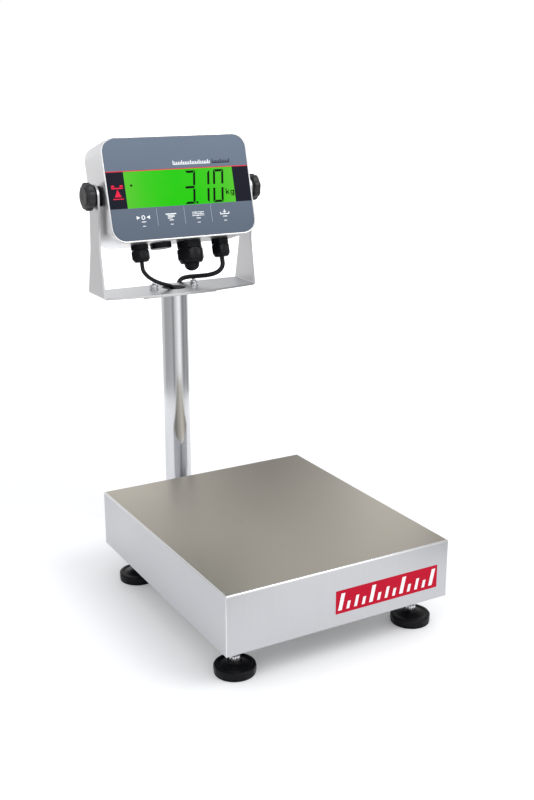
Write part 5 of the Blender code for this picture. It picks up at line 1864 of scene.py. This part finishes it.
    def add_keys(self) -> None:
        """Four keys under the film, each with a printed sign."""
        signs = (self.zero_sign, self.print_sign, self.function_sign, self.tare_sign)
        captions = Shape()
        for name, x, sign in zip(self.key_names, self.key_places(), signs):
            key = self.slab(self.key, (x, self.key_row), self.face, self.face + 2.4 * MM, 1.5 * MM)
            self.place(name + "_pad", key, OVERLAY, [name], name)
            marks = sign((x, self.key_row + self.raise_face + 0.6 * MM))
            at = (x, self.key_row + self.raise_face - 5.3 * MM)
            self.bar(marks, 6.4, 1.1, 0.3, at)
            self.place(name + "_sign", marks, WHITE_INK, body=name)
            at = (x, self.key_row + self.raise_face - 11.0 * MM)
            self.bar(captions, 4.4, 0.9, 0.25, at)
        self.place("key_captions", captions, WHITE_INK)

    def stamp(self, shape: Shape, outline: Sequence[Flat]) -> None:
        """Prints an outline on the face."""
        shape.prism(outline, self.face - self.print_skin, self.face, "Y")

    def bar(
        self, shape: Shape, wide: float, tall: float, corner: float, at: Flat, steps: int = 2
    ) -> None:
        """Prints a bar with round corners, its size given in millimetres."""
        self.stamp(shape, rounded_rectangle(wide * MM, tall * MM, corner * MM, steps, at))

    def stamp_ring(self, shape: Shape, at: Flat, wide: float, tall: float, line: float) -> None:
        """Prints an oval line."""
        rings = []
        for y in (self.face - self.print_skin, self.face):
            for trim in (0.0, line) if y < self.face else (line, 0.0):
                points = []
                for i in range(28):
                    angle = i * math.tau / 28
                    x = at[0] + (wide / 2 - trim) * math.cos(angle)
                    points.append((x, y, at[1] + (tall / 2 - trim) * math.sin(angle)))
                rings.append(points)
        shape.loft(rings, closed=True)

    def zero_sign(self, at: Flat) -> Shape:
        """A nought between two pointers."""
        shape = Shape()
        x, z = at
        self.stamp_ring(shape, at, 5.4 * MM, 6.0 * MM, 1.2 * MM)
        for side in (-1, 1):
            tip, tail = x + side * 4.4 * MM, x + side * 9.6 * MM
            self.stamp(shape, [(tip, z), (tail, z + 2.4 * MM), (tail, z - 2.4 * MM)])
        return shape

    def print_sign(self, at: Flat) -> Shape:
        """A sheet of paper that leaves a slot."""
        shape = Shape()
        x, z = at
        self.bar(shape, 16, 1.4, 0.4, (x, z + 2.3 * MM))
        for i, wide in enumerate((10.4, 10.4, 7.0)):
            middle = (x + (wide - 10.4) / 2 * MM, z + (0.3 - 1.8 * i) * MM)
            self.bar(shape, wide, 1.0, 0.2, middle)
        return shape

    def function_sign(self, at: Flat) -> Shape:
        """Three sliders at different settings."""
        shape = Shape()
        x, z = at
        for i, knob in enumerate((-3.6, 4.0, -0.6)):
            row = z + (2.3 - 2.3 * i) * MM
            self.bar(shape, 18, 0.8, 0.2, (x, row))
            self.bar(shape, 2.4, 1.9, 0.5, (x + knob * MM, row))
        return shape

    def tare_sign(self, at: Flat) -> Shape:
        """An arrow that points down into a tray."""
        shape = Shape()
        x, z = at
        self.bar(shape, 14, 1.2, 0.3, (x, z - 2.6 * MM))
        for side in (-1, 1):
            wall = (x + side * 6.5 * MM, z - 1.2 * MM)
            self.bar(shape, 1.1, 2.8, 0.3, wall)
        self.bar(shape, 1.4, 3.0, 0.3, (x, z + 1.7 * MM))
        head = [(x, z - 1.5 * MM), (x + 2.9 * MM, z + 0.9 * MM), (x - 2.9 * MM, z + 0.9 * MM)]
        self.stamp(shape, head)
        return shape

    def add_display(self) -> None:
        """The display's dark segments: three digits, a point, the unit and a marker."""
        shape = Shape()
        base = -24.1 * MM + self.raise_face
        left = 5.6 * MM
        lit = {"3": "abcdg", "1": "bc", "0": "abcdef"}
        for i, digit in enumerate("310"):
            self.add_digit(shape, (left + i * self.digit_pitch, base), lit[digit])
        point = (21.4 * MM, base + 1.6 * MM)
        self.bar(shape, 3.2, 3.2, 1.4, point, 4)
        marker = (-71.9 * MM, 5.2 * MM + self.raise_face)
        self.bar(shape, 3.0, 2.8, 0.7, marker, 3)
        self.add_unit(shape, (67.9 * MM, -14.1 * MM + self.raise_face))
        self.place("display_segments", shape, SEGMENT_INK)

    def add_digit(self, shape: Shape, at: Flat, lit: str) -> None:
        """Seven-segment strokes of one digit, whose lower left corner is at."""
        x, z = at
        w, h, t = self.digit_width, self.digit_height, self.stroke
        nick, middle = 0.5 * MM, h / 2
        gap = self.middle_gap / 2
        lean = math.tan(math.radians(self.lean))

        def level(outer: float, inner: float) -> list[Flat]:
            """A level stroke, shorter on its inner side."""
            return [(nick, outer), (w - nick, outer), (w - t - nick, inner), (t + nick, inner)]

        def upright(side: float, end: float, way: int) -> list[Flat]:
            """An upright stroke, blunt at the middle and cut at a slant at its end."""
            start = middle + way * gap
            inner = side + (t if side < w / 2 else -t)
            return [(inner, start), (side, start), (side, end - way * nick), (inner, end - way * (t + nick))]

        half = t / 2
        tips = [(nick, middle), (nick + half, middle + half), (w - nick - half, middle + half)]
        bars = {
            "a": level(h, h - t),
            "d": level(0.0, t),
            "g": tips + [(w - x, h - z) for x, z in tips],
            "f": upright(0.0, h, 1),
            "e": upright(0.0, 0.0, -1),
            "b": upright(w, h, 1),
            "c": upright(w, 0.0, -1),
        }
        for name in lit:
            self.stamp(shape, [(x + a + (b - middle) * lean, z + b) for a, b in bars[name]])

    def add_unit(self, shape: Shape, at: Flat) -> None:
        """The sign for kilogram, k and g, in plain strokes."""
        x, z = at
        line = 1.35 * MM

        def stroke(x0: float, z0: float, x1: float, z1: float) -> None:
            """A straight stroke between two points, in millimetres from at."""
            start = Vector((x + x0 * MM, z + z0 * MM))
            end = Vector((x + x1 * MM, z + z1 * MM))
            side = (end - start).normalized().orthogonal() * line / 2
            corners = (start - side, end - side, end + side, start + side)
            self.stamp(shape, [tuple(corner) for corner in corners])

        stroke(0.0, 0.0, 0.0, 8.4)
        stroke(0.5, 2.3, 3.9, 5.5)
        stroke(1.6, 3.2, 4.3, 0.0)
        self.stamp_ring(shape, (x + 9.0 * MM, z + 2.85 * MM), 5.6 * MM, 5.9 * MM, line)
        stroke(11.5, 5.8, 11.5, -1.0)
        stroke(11.9, -1.5, 6.9, -1.5)

    def add_prints(self) -> None:
        """A graduated strip over the display and a balance sign in the dark band."""
        row = 29.6 * MM + self.raise_face
        for name, finish, start, end in (
            ("strip_light", WHITE_INK, -7.4 * MM, 48.4 * MM),
            ("strip_dark", DARK_INK, 51.5 * MM, 78.0 * MM),
        ):
            shape = Shape()
            middle = ((start + end) / 2, row + 0.6 * MM)
            self.stamp(shape, rounded_rectangle(end - start, 1.2 * MM, 0.3 * MM, 2, middle))
            step = 2.6 * MM
            for i in range(int((end - start) / step) + 1):
                tall = 5.6 * MM if i % 5 == 0 else 3.9 * MM
                middle = (start + 0.65 * MM + i * step, row + tall / 2)
                self.stamp(shape, rounded_rectangle(1.3 * MM, tall, 0.2 * MM, 2, middle))
            self.place(name, shape, finish)
        shape = Shape()
        x, z = -92.3 * MM, -2.6 * MM + self.raise_face
        beam = [(x - 4.8 * MM, z - 6.6 * MM), (x + 4.8 * MM, z - 6.6 * MM), (x, z + 3.6 * MM)]
        self.stamp(shape, beam)
        self.bar(shape, 16.5, 1.7, 0.5, (x, z + 5.0 * MM), 3)
        self.bar(shape, 15, 1.3, 0.3, (x, z - 9.2 * MM), 3)
        for side in (-1, 1):
            place = (x + side * 6.0 * MM, z + 7.8 * MM)
            self.bar(shape, 4.6, 2.4, 0.8, place, 3)
        self.place("balance_sign", shape, RED_INK)


@dataclass
class Glands(Assembly):
    """The cable glands, the blanked gland and the vent cap under the case."""

    body: str = "indicator"
    frame: Matrix = field(default_factory=tilt_frame)
    bottom: float = -0.0681
    line: float = 0.0105
    neck: float = 0.8 * MM
    gap: float = 0.3 * MM

    def build(self) -> None:
        """Makes all four."""
        self.add_gland("load_gland", -0.056, 0.0130, 0.0062, 0.0132, 0.0160, 2.75 * MM)
        self.add_gland("power_gland", 0.0668, 0.0134, 0.0068, 0.0137, 0.0178, 3.25 * MM)
        end = self.add_gland("data_gland", 0.0187, 0.0188, 0.0090, 0.0200, 0.0206, 6.4 * MM)
        self.add_bung(0.0187, end)
        self.add_vent(-0.0245)

    def add_gland(
        self, name: str, x: float, collar: float, deep: float, nut: float, tall: float, cable: float
    ) -> float:
        """One gland.

        Args:
            name: Its name in the CAD.
            x: Its place along the case.
            collar: The hexagonal collar's corner radius.
            deep: The collar's height.
            nut: The clamping nut's corner radius.
            tall: The nut's height.
            cable: The cable's radius.

        Returns:
            How far below the case it ends.
        """
        at = (x, self.line, self.bottom)
        thread = collar * 0.66
        bore = cable + 0.3 * MM
        flats = 2 * collar * math.cos(math.pi / 6)
        collar_top, collar_end = self.gap, self.gap + deep
        body = Shape().loft(
            [
                circle(bore, -0.009, 72),
                circle(thread, -0.009, 72),
                circle(thread, collar_top, 72),
                hexagon(flats, collar * 0.975, collar_top, 72),
                hexagon(flats, collar, collar_top + 0.0008, 72),
                hexagon(flats, collar, collar_end - 0.0008, 72),
                hexagon(flats, collar * 0.95, collar_end, 72),
                circle(thread, collar_end, 72),
                circle(thread, collar_end + self.neck + tall * 0.6, 72),
                circle(bore, collar_end + self.neck + tall * 0.6, 72),
            ],
            closed=True,
            axis="-Z",
        )
        self.place(name + "_collar", body.shifted(at), NYLON, [name + "_body"])
        top, end = collar_end + self.neck, collar_end + self.neck + tall
        flats = 2 * nut * math.cos(math.pi / 6)
        shoulder = top + tall * 0.70
        rings = [circle(thread + 0.2 * MM, top, 72)]
        rings += [hexagon(flats, nut * 0.86, top, 72), hexagon(flats, nut, top + 0.0020, 72)]
        rings += [hexagon(flats, nut, shoulder, 72), hexagon(flats, nut * 0.955, shoulder + 0.0008, 72)]
        mouth = cable + 0.7 * MM
        brow = nut * 0.86
        rings.append(circle(brow, shoulder + 0.0014, 72))
        for inset, rise in quarter_turn(0.0024, 5)[1:]:
            rings.append(circle(brow - 0.0012 - inset * 0.9, end - 0.0024 + rise, 72))
        rings += [circle(mouth, end, 72), circle(mouth, end - 0.0015, 72)]
        rings += [circle(bore, end - 0.003, 72), circle(bore, top + 0.62 * tall, 72)]
        rings += [circle(thread + 0.2 * MM, top + 0.62 * tall, 72)]
        nut_shape = Shape().loft(rings, closed=True, axis="-Z")
        self.place(name + "_cap", nut_shape.shifted(at), NYLON, [name + "_nut"])
        seal = [(cable + 0.05 * MM, end - 0.004), (mouth - 0.1 * MM, end - 0.004)]
        seal += [(mouth - 0.1 * MM, end - 0.0002), (cable + 0.05 * MM, end + 0.0004)]
        ring_shape = Shape().lathe(seal, 48, "-Z", closed=True)
        self.place(name + "_seal", ring_shape.shifted(at), SOFT_RUBBER)
        return end

    def add_bung(self, x: float, end: float) -> None:
        """The round-nosed plug in the unused gland."""
        radius, tall, stem = 0.0106, 0.0105, 0.0064
        top = end + self.gap
        profile = [(stem, -0.009), (stem, top), (radius - 0.0003, top), (radius, top + 0.0004)]
        profile += [(radius, top + tall * 0.12)]
        for i in range(1, 9):
            angle = i / 9 * math.pi / 2
            drop = tall * 0.12 + tall * 0.88 * math.sin(angle)
            profile.append((radius * math.cos(angle), top + drop))
        nose = Shape().lathe(profile, 64, "-Z")
        at = (x, self.line, self.bottom)
        self.place("data_gland_nose", nose.shifted(at), NYLON, ["data_gland_plug"])

    def add_vent(self, x: float) -> None:
        """A low round cap with a knurled edge."""
        radius, tall = 0.0148, 0.0072

        def knurl(depth: float) -> Callable[[float], float]:
            """The cap's radius with its fine ribs."""
            return lambda angle: radius - depth * (0.5 + 0.5 * math.cos(36 * angle))

        rings = [circle(0.008, -0.006, 216), circle(0.008, self.gap, 216)]
        rings += [ring(knurl(0.0), self.gap, 216), ring(knurl(0.3 * MM), self.gap + 0.0006, 216)]
        rings += [ring(knurl(0.3 * MM), tall - 0.0014, 216), circle(radius - 0.5 * MM, tall - 0.0006, 216)]
        rings += [circle(radius - 0.0014, tall, 216)]
        cap = Shape().loft(rings, axis="-Z")
        at = (x, self.line, self.bottom)
        self.place("vent_cap_knurled", cap.shifted(at), NYLON, ["vent_cap"])


@dataclass
class Knobs(Assembly):
    """The clamp knobs and the spacers inside the bracket's arms."""

    body: str = "indicator"
    frame: Matrix = field(default_factory=tilt_frame)
    radius: float = 0.0187
    deep: float = 0.0143
    lobes: int = 8
    inner: float = 0.1168
    stud: float = 0.004
    case_half: float = 0.1083
    arm_inside: float = 0.1135

    def build(self) -> None:
        """Makes both sides."""
        for side, axis in (("left", "-X"), ("right", "X")):
            self.add_spacer(side, axis)
            self.add_knob(side, axis)

    def add_spacer(self, side: str, axis: str) -> None:
        """A ribbed ring between the case and the arm."""
        start, end = self.case_half + 0.3 * MM, self.arm_inside - 0.3 * MM
        bore = self.stud + 0.3 * MM
        profile = [(bore, start), (0.0131, start), (0.0135, start + 0.0004), (0.0135, start + 0.0018)]
        profile += [(0.0129, start + 0.0022), (0.0129, end - 0.0010), (0.0125, end), (bore, end)]
        shape = Shape().lathe(profile, 64, axis, closed=True)
        node = "pivot_spacer_" + side
        self.place("spacer_ring_" + side, shape, NYLON, [node])

    def add_knob(self, side: str, axis: str) -> None:
        """A fluted hand knob with a raised disc in its face and a moulded-in stud."""
        sides = 12 * self.lobes
        wave = self.lobes

        def fluted(share: float, depth: float) -> Callable[[float], float]:
            """The knob's radius, scooped between its lobes."""

            def reach(angle: float) -> float:
                """The radius at an angle."""
                scoop = (0.5 - 0.5 * math.cos(wave * angle)) ** 2
                return self.radius * share * (1 - depth * scoop)

            return reach

        at = self.inner
        profile = [
            (self.stud, self.case_half - 0.012, 0.0),
            (self.stud, at, 0.0),
            (self.radius * 0.70, at, 0.0),
            (self.radius * 0.76, at + 0.0006, 0.0),
            (self.radius * 0.78, at + 0.0022, 0.0),
            (self.radius * 0.93, at + 0.0030, 0.05),
            (self.radius * 0.98, at + 0.0037, 0.09),
            (self.radius, at + 0.0048, 0.105),
            (self.radius, at + 0.0100, 0.105),
            (self.radius * 0.985, at + 0.0113, 0.10),
            (self.radius * 0.94, at + 0.0122, 0.08),
            (self.radius * 0.86, at + 0.0127, 0.03),
            (self.radius * 0.78, at + 0.0127, 0.0),
            (self.radius * 0.74, at + 0.0128, 0.0),
            (self.radius * 0.72, at + 0.0138, 0.0),
            (self.radius * 0.69, at + self.deep, 0.0),
            (self.radius * 0.20, at + self.deep, 0.0),
            (self.radius * 0.18, at + self.deep - 0.0003, 0.0),
        ]
        rings = [ring(fluted(r / self.radius, depth), x, sides) for r, x, depth in profile]
        shape = Shape().loft(rings, axis=axis)
        node = "clamp_knob_" + side
        self.place("hand_knob_" + side, shape, KNOB_NYLON, [node], node)


def main() -> None:
    """Builds the set, then each sub-assembly, and reports them."""
    StudioSet().build()
    for assembly in (
        Cords(),
        Pan(),
        BaseFrame(),
        Feet(),
        Column(),
        Bracket(),
        Indicator(),
        Glands(),
        Knobs(),
    ):
        LOG.info("building %s", type(assembly).__name__)
        assembly.build()


if __name__ == "__main__":
    main()
